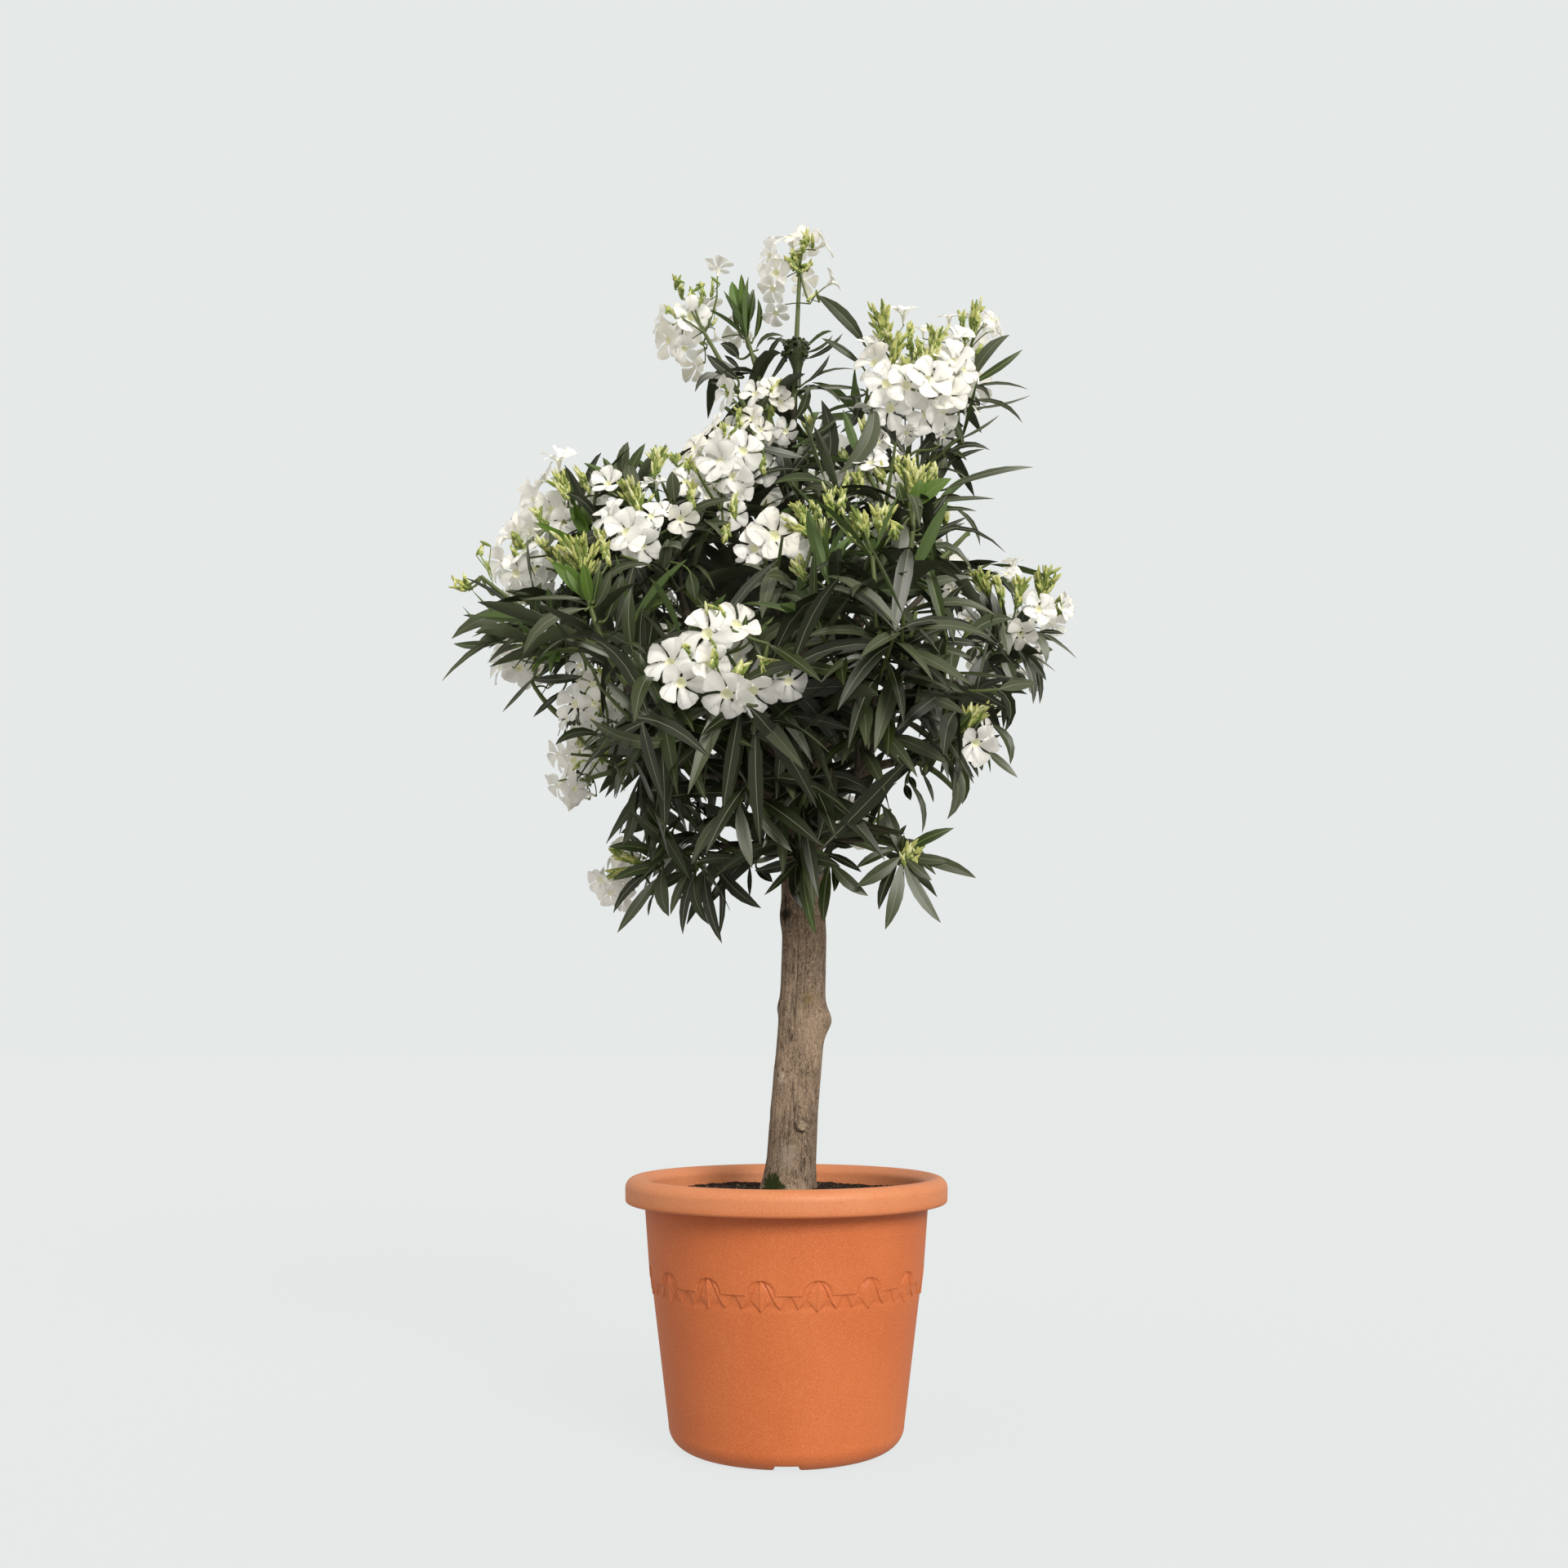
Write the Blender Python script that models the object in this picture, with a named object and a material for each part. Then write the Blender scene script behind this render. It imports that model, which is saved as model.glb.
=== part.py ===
"""A flowering oleander grown as a standard tree, in a round pot with a rolled rim.

Metres, +Z up. The origin is the middle of the pot's flat underside, and the front faces -Y.
The pot, the soil, the trunk and each bough is one solid. The crown is a set of masses, each one
solid: a stem that goes on from a bough's tip or from the trunk, leafy shoots that fan out from it
to named tips, side shoots placed by a seeded rule, and leaves, buds and flowers fused on.
"""

import math

import bmesh
import bpy
import numpy as np
from mathutils.bvhtree import BVHTree

# ---------------------------------------------------------------- driving dimensions
GAP = 0.0003  # clearance between pieces that rest on each other

# The pot.
POT_HEIGHT = 0.317
RIM_RADIUS = 0.200
RIM_HEIGHT = 0.031
RIM_ROUND = 0.013  # the roll of the rim's top edge
WALL = 0.0045
NECK_RADIUS = 0.1768  # outside of the wall, right under the rim
BELT_HEIGHT = 0.190  # where the thicker upper wall steps in
BELT_RADIUS = 0.1678
BELT_STEP = 0.0024
FOOT_RADIUS = 0.1433
FOOT_ROUND = 0.026
FLOOR = 0.009
POT_SIDES = 32
NOTCH_WIDTH = 0.029
NOTCH_HEIGHT = 0.005
NOTCH_LENGTH = 0.055
NOTCHES = 4
DRAIN_RADIUS = 0.006
DRAIN_CIRCLE = 0.096

# The soil and the trunk.
SOIL_TOP = 0.298
TRUNK_SIDES = 12
# Height, sideways lean and radius of the trunk, from the soil to the fork.
TRUNK_STATIONS = (
    (SOIL_TOP + GAP, 0.002, 0.0340),
    (0.312, 0.003, 0.0316),
    (0.340, 0.006, 0.0300),
    (0.396, 0.009, 0.0294),
    (0.455, 0.015, 0.0286),
    (0.506, 0.019, 0.0288),
    (0.557, 0.021, 0.0280),
    (0.616, 0.023, 0.0276),
    (0.692, 0.021, 0.0270),
    (0.770, 0.022, 0.0262),
    (0.812, 0.022, 0.0235),
    (0.830, 0.022, 0.0180),
)
# Swellings and old pruning knots: height, direction in degrees from +X, bulge, and half height.
TRUNK_KNOTS = (
    (0.508, -10.0, 0.0085, 0.017),
    (0.372, -70.0, 0.0050, 0.008),
    (0.640, -150.0, 0.0045, 0.018),
    (0.436, -125.0, 0.0030, 0.012),
    (0.560, 95.0, 0.0060, 0.016),
    (0.450, 150.0, 0.0040, 0.014),
)
KNOT_SPREAD = 0.55  # half width of a knot, in radians round the trunk

# The boughs: parent, share of the parent's length, tip, radius at the foot and at the tip.
BOUGHS = {
    "bough_leader": ("trunk", 0.985, (0.010, 0.010, 1.165), 0.0160, 0.0075),
    "bough_right": ("trunk", 0.930, (0.125, 0.005, 1.100), 0.0150, 0.0070),
    "bough_left": ("trunk", 0.905, (-0.195, 0.010, 0.965), 0.0150, 0.0070),
    "bough_front": ("trunk", 0.900, (-0.035, -0.170, 0.865), 0.0125, 0.0065),
    "bough_back": ("trunk", 0.940, (0.005, 0.170, 0.950), 0.0140, 0.0065),
    "bough_column": ("trunk", 0.860, (0.078, -0.150, 0.800), 0.0105, 0.0060),
    "bough_left_low": ("trunk", 0.870, (-0.115, -0.045, 0.825), 0.0095, 0.0055),
    "bough_right_low": ("trunk", 0.895, (0.135, -0.030, 0.835), 0.0095, 0.0055),
    "bough_centre_left": ("bough_leader", 0.42, (-0.045, -0.035, 1.095), 0.0080, 0.0050),
    "bough_centre_front": ("bough_leader", 0.22, (-0.010, -0.095, 0.985), 0.0080, 0.0050),
    "bough_back_top": ("bough_leader", 0.52, (0.030, 0.090, 1.110), 0.0080, 0.0050),
    "bough_right_upper": ("bough_right", 0.50, (0.130, -0.085, 1.030), 0.0080, 0.0050),
    "bough_right_out": ("bough_right", 0.32, (0.205, 0.000, 0.945), 0.0085, 0.0050),
    "bough_right_front": ("bough_right", 0.20, (0.150, -0.100, 0.905), 0.0075, 0.0050),
    "bough_right_back": ("bough_right", 0.58, (0.150, 0.095, 1.060), 0.0080, 0.0050),
    "bough_left_upper": ("bough_left", 0.42, (-0.130, -0.055, 1.030), 0.0080, 0.0050),
    "bough_left_top": ("bough_left", 0.62, (-0.200, 0.050, 1.060), 0.0080, 0.0050),
    "bough_left_back": ("bough_left", 0.30, (-0.105, 0.110, 1.020), 0.0080, 0.0050),
    "bough_left_far": ("bough_left", 0.72, (-0.245, 0.055, 0.905), 0.0070, 0.0045),
    "bough_front_left": ("bough_front", 0.50, (-0.110, -0.165, 0.845), 0.0070, 0.0050),
    "bough_back_right": ("bough_back", 0.45, (0.140, 0.140, 0.925), 0.0080, 0.0050),
    "bough_back_left": ("bough_back", 0.55, (-0.120, 0.165, 0.920), 0.0080, 0.0050),
}

# The crown: each mass grows on from a bough, or from the trunk at a height. Its shoots are given by
# the point where the leafy twig ends, what it carries there, and how large that head is.
#   bloom: open flowers round a tuft of buds    buds: a tuft of closed buds    leaf: young leaves
MASSES = {
    "top": ("bough_leader", (
        ((0.019, 0.000, 1.532), "spire", 1.0),
        ((-0.112, -0.005, 1.435), "bloom", 0.9),
        ((-0.053, -0.020, 1.420), "leaf", 1.0),
        ((0.040, 0.075, 1.345), "leaf", 0.9),
    )),
    "top_right": ("bough_right", (
        ((0.168, -0.055, 1.345), "bloom", 1.5),
        ((0.252, 0.045, 1.425), "bloom", 0.8),
        ((0.235, -0.030, 1.270), "leaf", 1.0),
        ((0.100, 0.000, 1.310), "leaf", 1.1),
    )),
    "centre_left": ("bough_centre_left", (
        ((-0.032, -0.060, 1.265), "bloom", 0.8),
        ((-0.088, -0.055, 1.205), "bloom", 1.0),
    )),
    "centre_front": ("bough_centre_front", (
        ((-0.015, -0.125, 1.075), "bloom", 0.8),
        ((0.045, -0.160, 1.060), "buds", 0.9),
    )),
    "back_top": ("bough_back_top", (
        ((0.045, 0.165, 1.300), "bloom", 0.9),
        ((-0.050, 0.150, 1.235), "bloom", 0.9),
    )),
    "right_upper": ("bough_right_upper", (
        ((0.160, -0.120, 1.160), "buds", 1.0),
        ((0.098, -0.085, 1.215), "bloom", 0.8),
        ((0.235, -0.070, 1.130), "leaf", 1.0),
    )),
    "right_back": ("bough_right_back", (
        ((0.235, 0.150, 1.175), "bloom", 1.0),
        ((0.150, 0.220, 1.150), "bloom", 0.9),
    )),
    "right_out": ("bough_right_out", (
        ((0.290, -0.005, 1.005), "bloom", 1.05),
        ((0.300, 0.040, 0.930), "leaf", 1.0),
        ((0.265, 0.110, 1.020), "leaf", 0.9),
    )),
    "right_front": ("bough_right_front", (
        ((0.225, -0.170, 0.985), "leaf", 1.0),
        ((0.205, -0.185, 0.900), "leaf", 1.0),
    )),
    "right_low": ("bough_right_low", (
        ((0.222, -0.095, 0.840), "buds", 0.9),
        ((0.225, -0.020, 0.790), "leaf", 1.0),
        ((0.165, -0.150, 0.800), "leaf", 1.0),
    )),
    "column": ("bough_column", (
        ((0.100, -0.250, 1.040), "buds", 0.9),
        ((0.050, -0.235, 1.010), "buds", 0.8),
        ((0.150, -0.245, 0.975), "leaf", 0.9),
    )),
    "centre": ("bough_front", (
        ((-0.070, -0.285, 0.880), "bloom", 1.15),
        ((-0.020, -0.290, 0.925), "leaf", 0.9),
        ((0.000, -0.235, 0.860), "leaf", 1.0),
    )),
    "front_left": ("bough_front_left", (
        ((-0.240, -0.200, 1.015), "buds", 1.1),
        ((-0.150, -0.255, 0.900), "leaf", 1.0),
        ((-0.190, -0.170, 0.835), "leaf", 1.0),
    )),
    "left_upper": ("bough_left_upper", (
        ((-0.175, -0.130, 1.100), "bloom", 1.1),
        ((-0.125, -0.020, 1.215), "buds", 1.0),
        ((-0.210, -0.030, 1.185), "leaf", 1.0),
    )),
    "left_top": ("bough_left_top", (
        ((-0.300, 0.020, 1.190), "bloom", 1.0),
        ((-0.262, -0.040, 1.120), "buds", 1.1),
        ((-0.240, 0.105, 1.150), "bloom", 0.9),
    )),
    "left": ("bough_left", (
        ((-0.330, -0.005, 1.075), "bloom", 1.1),
        ((-0.392, -0.030, 1.060), "stalk", 1.0),
        ((-0.285, -0.115, 0.960), "leaf", 1.0),
    )),
    "left_far": ("bough_left_far", (
        ((-0.350, 0.090, 0.970), "bloom", 1.0),
        ((-0.285, 0.060, 0.900), "leaf", 0.9),
    )),
    "left_low": ("bough_left_low", (
        ((-0.232, -0.065, 0.880), "bloom", 1.0),
        ((-0.255, -0.045, 0.810), "bloom", 0.9),
        ((-0.175, -0.125, 0.770), "leaf", 1.0),
    )),
    "left_back": ("bough_left_back", (
        ((-0.160, 0.210, 1.110), "bloom", 1.0),
        ((-0.070, 0.195, 1.120), "leaf", 0.9),
    )),
    "back": ("bough_back", (
        ((0.020, 0.310, 1.010), "bloom", 1.0),
        ((-0.055, 0.300, 0.930), "leaf", 1.0),
        ((0.085, 0.275, 0.940), "leaf", 1.0),
    )),
    "back_right": ("bough_back_right", (
        ((0.250, 0.225, 0.990), "bloom", 1.0),
        ((0.235, 0.200, 0.880), "leaf", 1.0),
    )),
    "back_left": ("bough_back_left", (
        ((-0.245, 0.235, 0.970), "bloom", 1.0),
        ((-0.175, 0.235, 0.880), "leaf", 1.0),
    )),
    "low_left": (0.725, (
        ((-0.190, -0.045, 0.700), "bloom", 0.7),
        ((-0.110, -0.085, 0.695), "leaf", 1.0),
    )),
    "low_right": (0.728, (
        ((0.150, -0.095, 0.715), "stub", 0.8),
        ((0.120, -0.020, 0.720), "leaf", 1.0),
    )),
    "low_front": (0.722, (
        ((-0.046, -0.230, 0.775), "leaf", 1.1),
        ((0.028, -0.215, 0.785), "leaf", 1.0),
        ((0.018, -0.125, 0.715), "leaf", 0.9),
    )),
    "low_back_right": (0.742, (
        ((0.145, 0.150, 0.800), "leaf", 1.0),
        ((0.065, 0.180, 0.765), "bloom", 0.8),
    )),
    "low_back_left": (0.722, (
        ((-0.135, 0.120, 0.760), "leaf", 1.0),
        ((-0.045, 0.165, 0.730), "leaf", 1.0),
    )),
}
TRUNK_MASS_TURN = {
    "low_left": 188.0, "low_right": -38.0, "low_front": -104.0,
    "low_back_right": 55.0, "low_back_left": 125.0,
}

# The growth rule.
SEED = 41
GOLDEN_TURN = 2.39996  # radians between one side shoot, leaf or flower and the next
STEM_LENGTH = 0.022
# Radii of a named shoot and of a side shoot, from where it is rooted to its tip.
SHOOT_RADII = (0.0022, 0.0044, 0.0038, 0.0031)
SIDE_RADII = (0.0014, 0.0030)
ROOT_DEPTH = 0.0004  # how far past the twig's middle line a leaf is rooted
SIDE_SHOOTS = 1
SIDE_LENGTH = 0.080
TWIG_ROOM = 0.010  # how far a side shoot stays from another mass's twigs, and from limbs
LEAF_LENGTH = 0.146
LEAF_WIDTH = 0.036
LEAF_THICK = 0.0030
LEAF_SIZES = (1.0, 0.74)  # a leaf that finds no room at its full size is tried at the next
LEAF_TRIM = 0.14  # the share of a leaf, from its root, that may touch its neighbours
HEAD_TRIM = 0.45  # the same for a flower or a bud
WHORL = 3  # leaves at one height
WHORL_SPACING = 0.056
BARE_SHARE = 0.16  # the share of a shoot, from its foot, that has no leaves
SPACE_MARGIN = 0.0020  # how far inside its own space a leaf stays
LIMB_MARGIN = 0.0020
# The crown's outline seen from the front, from an eye at this height and distance: height, left, right.
EYE_HEIGHT = 0.484
EYE_DISTANCE = 2.0
CROWN_OUTLINE = np.array((
    (0.600, -0.110, 0.070), (0.640, -0.240, 0.190), (0.700, -0.265, 0.255), (0.760, -0.250, 0.240),
    (0.800, -0.315, 0.250), (0.860, -0.320, 0.300), (0.900, -0.345, 0.310), (0.940, -0.440, 0.345),
    (1.000, -0.450, 0.378), (1.050, -0.430, 0.382), (1.100, -0.458, 0.360), (1.150, -0.415, 0.300),
    (1.200, -0.360, 0.285), (1.262, -0.335, 0.330), (1.285, -0.135, 0.330), (1.350, -0.135, 0.335),
    (1.400, -0.180, 0.328), (1.450, -0.195, 0.305), (1.505, -0.165, 0.285), (1.530, -0.125, 0.105),
    (1.560, -0.090, 0.085), (1.605, -0.065, 0.075),
))
# Everything in the crown stays between these corners.
CROWN_LOW = np.array([-0.452, -0.385, 0.603])
CROWN_HIGH = np.array([0.382, 0.385, 1.600])

FLOWERS = {"bloom": 3.3, "spire": 4, "buds": 0, "leaf": 0, "stalk": 0, "stub": 0}
BUDS = {"bloom": 1, "spire": 1, "buds": 4, "leaf": 0, "stalk": 1, "stub": 2}
LEAFY_SHARE = {"spire": 0.62, "stalk": 0.45}  # the share of the shoot below its bare flower stalk
FLOWER_REACH = 0.062
FLOWER_RADIUS = 0.027
THROAT_SHARE = 0.55  # how far along the flower's reach its throat begins
THROAT_RADIUS = 0.0045
BUD_REACH = 0.060
BUD_RADIUS = 0.0075

UP = np.array([0.0, 0.0, 1.0])


# ---------------------------------------------------------------- small helpers
def clear_scene():
    """Removes whatever objects the file starts with."""
    for obj in list(bpy.data.objects):
        bpy.data.objects.remove(obj)


def unit(vector):
    """The vector at length one."""
    return vector / np.linalg.norm(vector)


def material(name, colour, roughness, metallic=0.0):
    """A Principled material of one colour."""
    made = bpy.data.materials.new(name)
    made.use_nodes = True
    shader = made.node_tree.nodes["Principled BSDF"]
    shader.inputs["Base Color"].default_value = (*colour, 1.0)
    shader.inputs["Roughness"].default_value = roughness
    shader.inputs["Metallic"].default_value = metallic
    made.diffuse_color = (*colour, 1.0)
    return made


def mesh_object(name, vertices, faces, finish, smooth=True):
    """A mesh object of these vertices and faces, linked into the scene."""
    mesh = bpy.data.meshes.new(name)
    mesh.from_pydata([tuple(map(float, v)) for v in vertices], [], faces)
    mesh.materials.append(finish)
    if smooth:
        mesh.shade_smooth()
        mesh.set_sharp_from_angle(angle=math.radians(40))
    obj = bpy.data.objects.new(name, mesh)
    bpy.context.scene.collection.objects.link(obj)
    return obj


def apply_modifiers(obj):
    """Replaces the object's mesh by what its modifiers make of it."""
    graph = bpy.context.evaluated_depsgraph_get()
    graph.update()
    made = bpy.data.meshes.new_from_object(obj.evaluated_get(graph))
    obj.modifiers.clear()
    obj.data = made


def boolean(obj, others, operation, solver="EXACT"):
    """Joins the others to obj, or cuts them from it, in one applied Boolean, and removes them."""
    group = bpy.data.collections.new(obj.name + "_" + operation.lower())
    bpy.context.scene.collection.children.link(group)
    for other in others:
        bpy.context.scene.collection.objects.unlink(other)
        group.objects.link(other)
    step = obj.modifiers.new(operation.title(), "BOOLEAN")
    step.operation = operation
    step.solver = solver
    step.operand_type = "COLLECTION"
    step.collection = group
    apply_modifiers(obj)
    for other in others:
        bpy.data.objects.remove(other)
    bpy.data.collections.remove(group)


def tube_rings(path, radii, sides):
    """Points round a path: a ring square to the path at each of its points, turned along with it."""
    path = np.asarray(path, float)
    tangents = np.gradient(path, axis=0)
    tangents /= np.linalg.norm(tangents, axis=1)[:, None]
    side = np.cross(tangents[0], UP if abs(tangents[0][2]) < 0.9 else np.array([0.0, 1.0, 0.0]))
    rings = []
    turn = np.arange(sides) * 2 * math.pi / sides
    for point, tangent, radius in zip(path, tangents, radii):
        side = unit(side - tangent * (side @ tangent))
        other = np.cross(tangent, side)
        rings.append(point + radius * (np.outer(np.cos(turn), side) + np.outer(np.sin(turn), other)))
    return rings


def closed_tube(name, rings, finish, smooth=True):
    """A closed tube through the rings, with a flat cap at each end."""
    sides = len(rings[0])
    faces = []
    for row in range(len(rings) - 1):
        for k in range(sides):
            nxt = (k + 1) % sides
            low, high = row * sides, (row + 1) * sides
            faces.append((low + k, low + nxt, high + nxt, high + k))
    faces.append(tuple(range(sides - 1, -1, -1)))
    top = (len(rings) - 1) * sides
    faces.append(tuple(range(top, top + sides)))
    return mesh_object(name, np.concatenate(rings), faces, finish, smooth)


def curve(start, middle, end, count):
    """Points on the curve that leaves start towards middle and arrives at end from middle."""
    t = np.linspace(0.0, 1.0, count)[:, None]
    return (1 - t) ** 2 * start + 2 * t * (1 - t) * middle + t**2 * end


def point_at(path, share):
    """The point at a share of the path's length, and the direction there."""
    steps = np.linalg.norm(np.diff(path, axis=0), axis=1)
    along = np.concatenate([[0.0], np.cumsum(steps)]) / steps.sum()
    point = np.array([np.interp(share, along, path[:, k]) for k in range(3)])
    row = min(np.searchsorted(along, share, side="right"), len(path) - 1)
    row = max(row, 1)
    return point, unit(path[row] - path[row - 1])


# ---------------------------------------------------------------- pot and soil
def inner_radius(height):
    """The inside of the pot's wall at a height."""
    share = (height - FOOT_ROUND) / (POT_HEIGHT - RIM_HEIGHT - FOOT_ROUND)
    return FOOT_RADIUS - WALL + share * (NECK_RADIUS - BELT_STEP - FOOT_RADIUS)


def pot_profile():
    """Radius and height round the pot's wall: floor, inside, over the rim, its skirt, outside, foot."""
    rim_low = POT_HEIGHT - RIM_HEIGHT
    rim_centre = POT_HEIGHT - RIM_ROUND
    skirt = RIM_RADIUS - 0.0085
    crest = RIM_RADIUS - RIM_ROUND
    inner_lip = inner_radius(0.285) + 0.002
    points = [(0.0, FLOOR), (FOOT_RADIUS - FOOT_ROUND, FLOOR)]
    inner_round = FOOT_ROUND - WALL
    for step in (1, 2):
        angle = step / 2 * math.pi / 2
        points.append((
            FOOT_RADIUS - FOOT_ROUND + inner_round * math.sin(angle),
            FLOOR + inner_round * (1 - math.cos(angle)),
        ))
    points.append((inner_radius(0.285), 0.285))
    points.append((inner_lip, 0.303))
    points.append((inner_lip + 0.3 * (crest - inner_lip), POT_HEIGHT - 0.004))
    for step in range(4):
        angle = math.pi / 2 - step / 3 * math.pi / 2
        points.append((crest + RIM_ROUND * math.cos(angle), rim_centre + RIM_ROUND * math.sin(angle)))
    points.append((RIM_RADIUS - 0.0004, rim_low + 0.004))
    points.append((RIM_RADIUS - 0.0045, rim_low))
    points.append((skirt, rim_low + 0.001))
    points.append((skirt, rim_centre - 0.002))
    points.append((NECK_RADIUS + 0.0005, rim_centre - 0.002))
    points.append((BELT_RADIUS, BELT_HEIGHT + BELT_STEP))
    points.append((BELT_RADIUS - BELT_STEP, BELT_HEIGHT))
    for step in range(4):
        angle = step / 3 * math.pi / 2
        points.append((
            FOOT_RADIUS - FOOT_ROUND + FOOT_ROUND * math.cos(angle),
            FOOT_ROUND * (1 - math.sin(angle)),
        ))
    points.append((0.0, 0.0))
    return points


def turned(name, profile, sides, finish):
    """The profile turned about the upright axis. Its first and last points lie on the axis."""
    shape = bmesh.new()
    corners = [shape.verts.new((radius, 0.0, height)) for radius, height in profile]
    edges = [shape.edges.new(pair) for pair in zip(corners[:-1], corners[1:])]
    bmesh.ops.spin(
        shape, geom=corners + edges, cent=(0, 0, 0), axis=(0, 0, 1), angle=2 * math.pi,
        steps=sides, use_merge=True, use_duplicate=False,
    )
    bmesh.ops.remove_doubles(shape, verts=shape.verts, dist=1e-5)
    bmesh.ops.recalc_face_normals(shape, faces=shape.faces)
    mesh = bpy.data.meshes.new(name)
    shape.to_mesh(mesh)
    shape.free()
    mesh.materials.append(finish)
    mesh.shade_smooth()
    mesh.set_sharp_from_angle(angle=math.radians(40))
    obj = bpy.data.objects.new(name, mesh)
    bpy.context.scene.collection.objects.link(obj)
    return obj


def block(name, size, centre, turn, finish):
    """A box of this size, turned about the upright axis."""
    corners = [
        np.array([sx * size[0], sy * size[1], sz * size[2]]) / 2
        for sx in (-1, 1) for sy in (-1, 1) for sz in (-1, 1)
    ]
    cosine, sine = math.cos(turn), math.sin(turn)
    rotate = np.array([[cosine, -sine, 0], [sine, cosine, 0], [0, 0, 1]])
    vertices = [rotate @ (corner + centre) for corner in corners]
    faces = [(0, 1, 3, 2), (4, 6, 7, 5), (0, 4, 5, 1), (2, 3, 7, 6), (0, 2, 6, 4), (1, 5, 7, 3)]
    return mesh_object(name, vertices, faces, finish, smooth=False)


def make_pot(finish):
    """The pot: one turned wall with a rolled rim, drain notches in its foot and a drain hole by each."""
    pot = turned("pot", pot_profile(), POT_SIDES, finish)
    cutters = []
    for k in range(NOTCHES):
        turn = -math.pi / 2 + k * 2 * math.pi / NOTCHES
        middle = FOOT_RADIUS - NOTCH_LENGTH / 2
        cutters.append(block(
            f"notch_{k}", (NOTCH_LENGTH, NOTCH_WIDTH, 2 * NOTCH_HEIGHT), np.array([middle, 0, 0]), turn, finish,
        ))
        centre = np.array([DRAIN_CIRCLE * math.cos(turn), DRAIN_CIRCLE * math.sin(turn), 0.0])
        axis = [centre - UP * 0.01, centre + UP * 0.02]
        cutters.append(closed_tube(f"drain_{k}", tube_rings(axis, (DRAIN_RADIUS, DRAIN_RADIUS), 8), finish))
    boolean(pot, cutters, "DIFFERENCE")
    return pot


def make_soil(finish):
    """The soil that fills the pot, clear of its wall by the gap."""
    inner_round = FOOT_ROUND - WALL
    profile = [(0.0, FLOOR + GAP), (FOOT_RADIUS - FOOT_ROUND, FLOOR + GAP)]
    for step in (1, 2):
        angle = step / 2 * math.pi / 2
        profile.append((
            FOOT_RADIUS - FOOT_ROUND + (inner_round - 1.5 * GAP) * math.sin(angle),
            FLOOR + inner_round - (inner_round - 1.5 * GAP) * math.cos(angle),
        ))
    profile.append((inner_radius(0.285) - 1.5 * GAP, 0.285))
    profile.append((inner_radius(0.285) - 0.002, SOIL_TOP))
    profile.append((0.0, SOIL_TOP))
    return turned("soil", profile, POT_SIDES, finish)


# ---------------------------------------------------------------- trunk and boughs
def trunk_path():
    """The trunk's middle line and radii."""
    stations = np.array(TRUNK_STATIONS)
    path = np.column_stack([stations[:, 1], np.zeros(len(stations)), stations[:, 0]])
    return path, stations[:, 2]


def knot_bulge(height, outward):
    """How far the knots push the bark out at a height, for each outward direction."""
    angle = np.arctan2(outward[:, 1], outward[:, 0])
    total = np.zeros(len(outward))
    for knot_height, knot_turn, size, half_height in TRUNK_KNOTS:
        away = (angle - math.radians(knot_turn) + math.pi) % (2 * math.pi) - math.pi
        total += size * np.exp(-((height - knot_height) / half_height) ** 2 - (away / KNOT_SPREAD) ** 2)
    return total


def make_trunk(finish):
    """The trunk, from its flat cut on the soil to the fork, with its knots. Its rings lie level."""
    path, radii = trunk_path()
    heights = np.unique(np.concatenate([path[:, 2], [knot[0] for knot in TRUNK_KNOTS]]))
    turn = np.arange(TRUNK_SIDES) * 2 * math.pi / TRUNK_SIDES
    outward = np.column_stack([np.cos(turn), np.sin(turn), np.zeros(TRUNK_SIDES)])
    rings = []
    for height in heights:
        centre = np.array([np.interp(height, path[:, 2], path[:, 0]), 0.0, height])
        reach = np.interp(height, path[:, 2], radii) + knot_bulge(height, outward)
        rings.append(centre + outward * reach[:, None])
    return closed_tube("trunk", rings, finish)


def bough_paths():
    """The middle line and radii of every bough, by name."""
    found = {"trunk": trunk_path()}
    for name, (parent, share, tip, thick, thin) in BOUGHS.items():
        start, along = point_at(found[parent][0], share)
        tip = np.array(tip)
        reach = np.linalg.norm(tip - start)
        out = unit(0.75 * unit(tip - start) + 0.35 * along)
        middle = start + out * reach * 0.5
        count = 6 if parent == "trunk" else 4
        path = curve(start, middle, tip, count)
        found[name] = (path, np.linspace(thick, thin, count))
    return found


def make_boughs(paths, finish):
    """Each bough, its foot cut to sit on its parent and clear of the boughs that were made before."""
    for name in BOUGHS:
        path, radii = paths[name]
        bough = closed_tube(name, tube_rings(path, radii, bough_sides(name)), finish)
        cutters = [clearance_of(other, paths) for other in near_limbs(name, paths)]
        boolean(bough, cutters, "DIFFERENCE")


def bough_sides(name):
    """How many sides a bough has."""
    return 7 if BOUGHS[name][0] == "trunk" else 6


def near_limbs(name, paths):
    """The limbs made before this one that come near it."""
    path, radii = paths[name]
    found = []
    for other in paths:
        if other == name:
            break
        other_path, other_radii = paths[other]
        apart = np.linalg.norm(dense(path)[:, None] - dense(other_path)[None], axis=2).min()
        if apart < radii.max() + other_radii.max() + 0.004:
            found.append(other)
    return found


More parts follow.
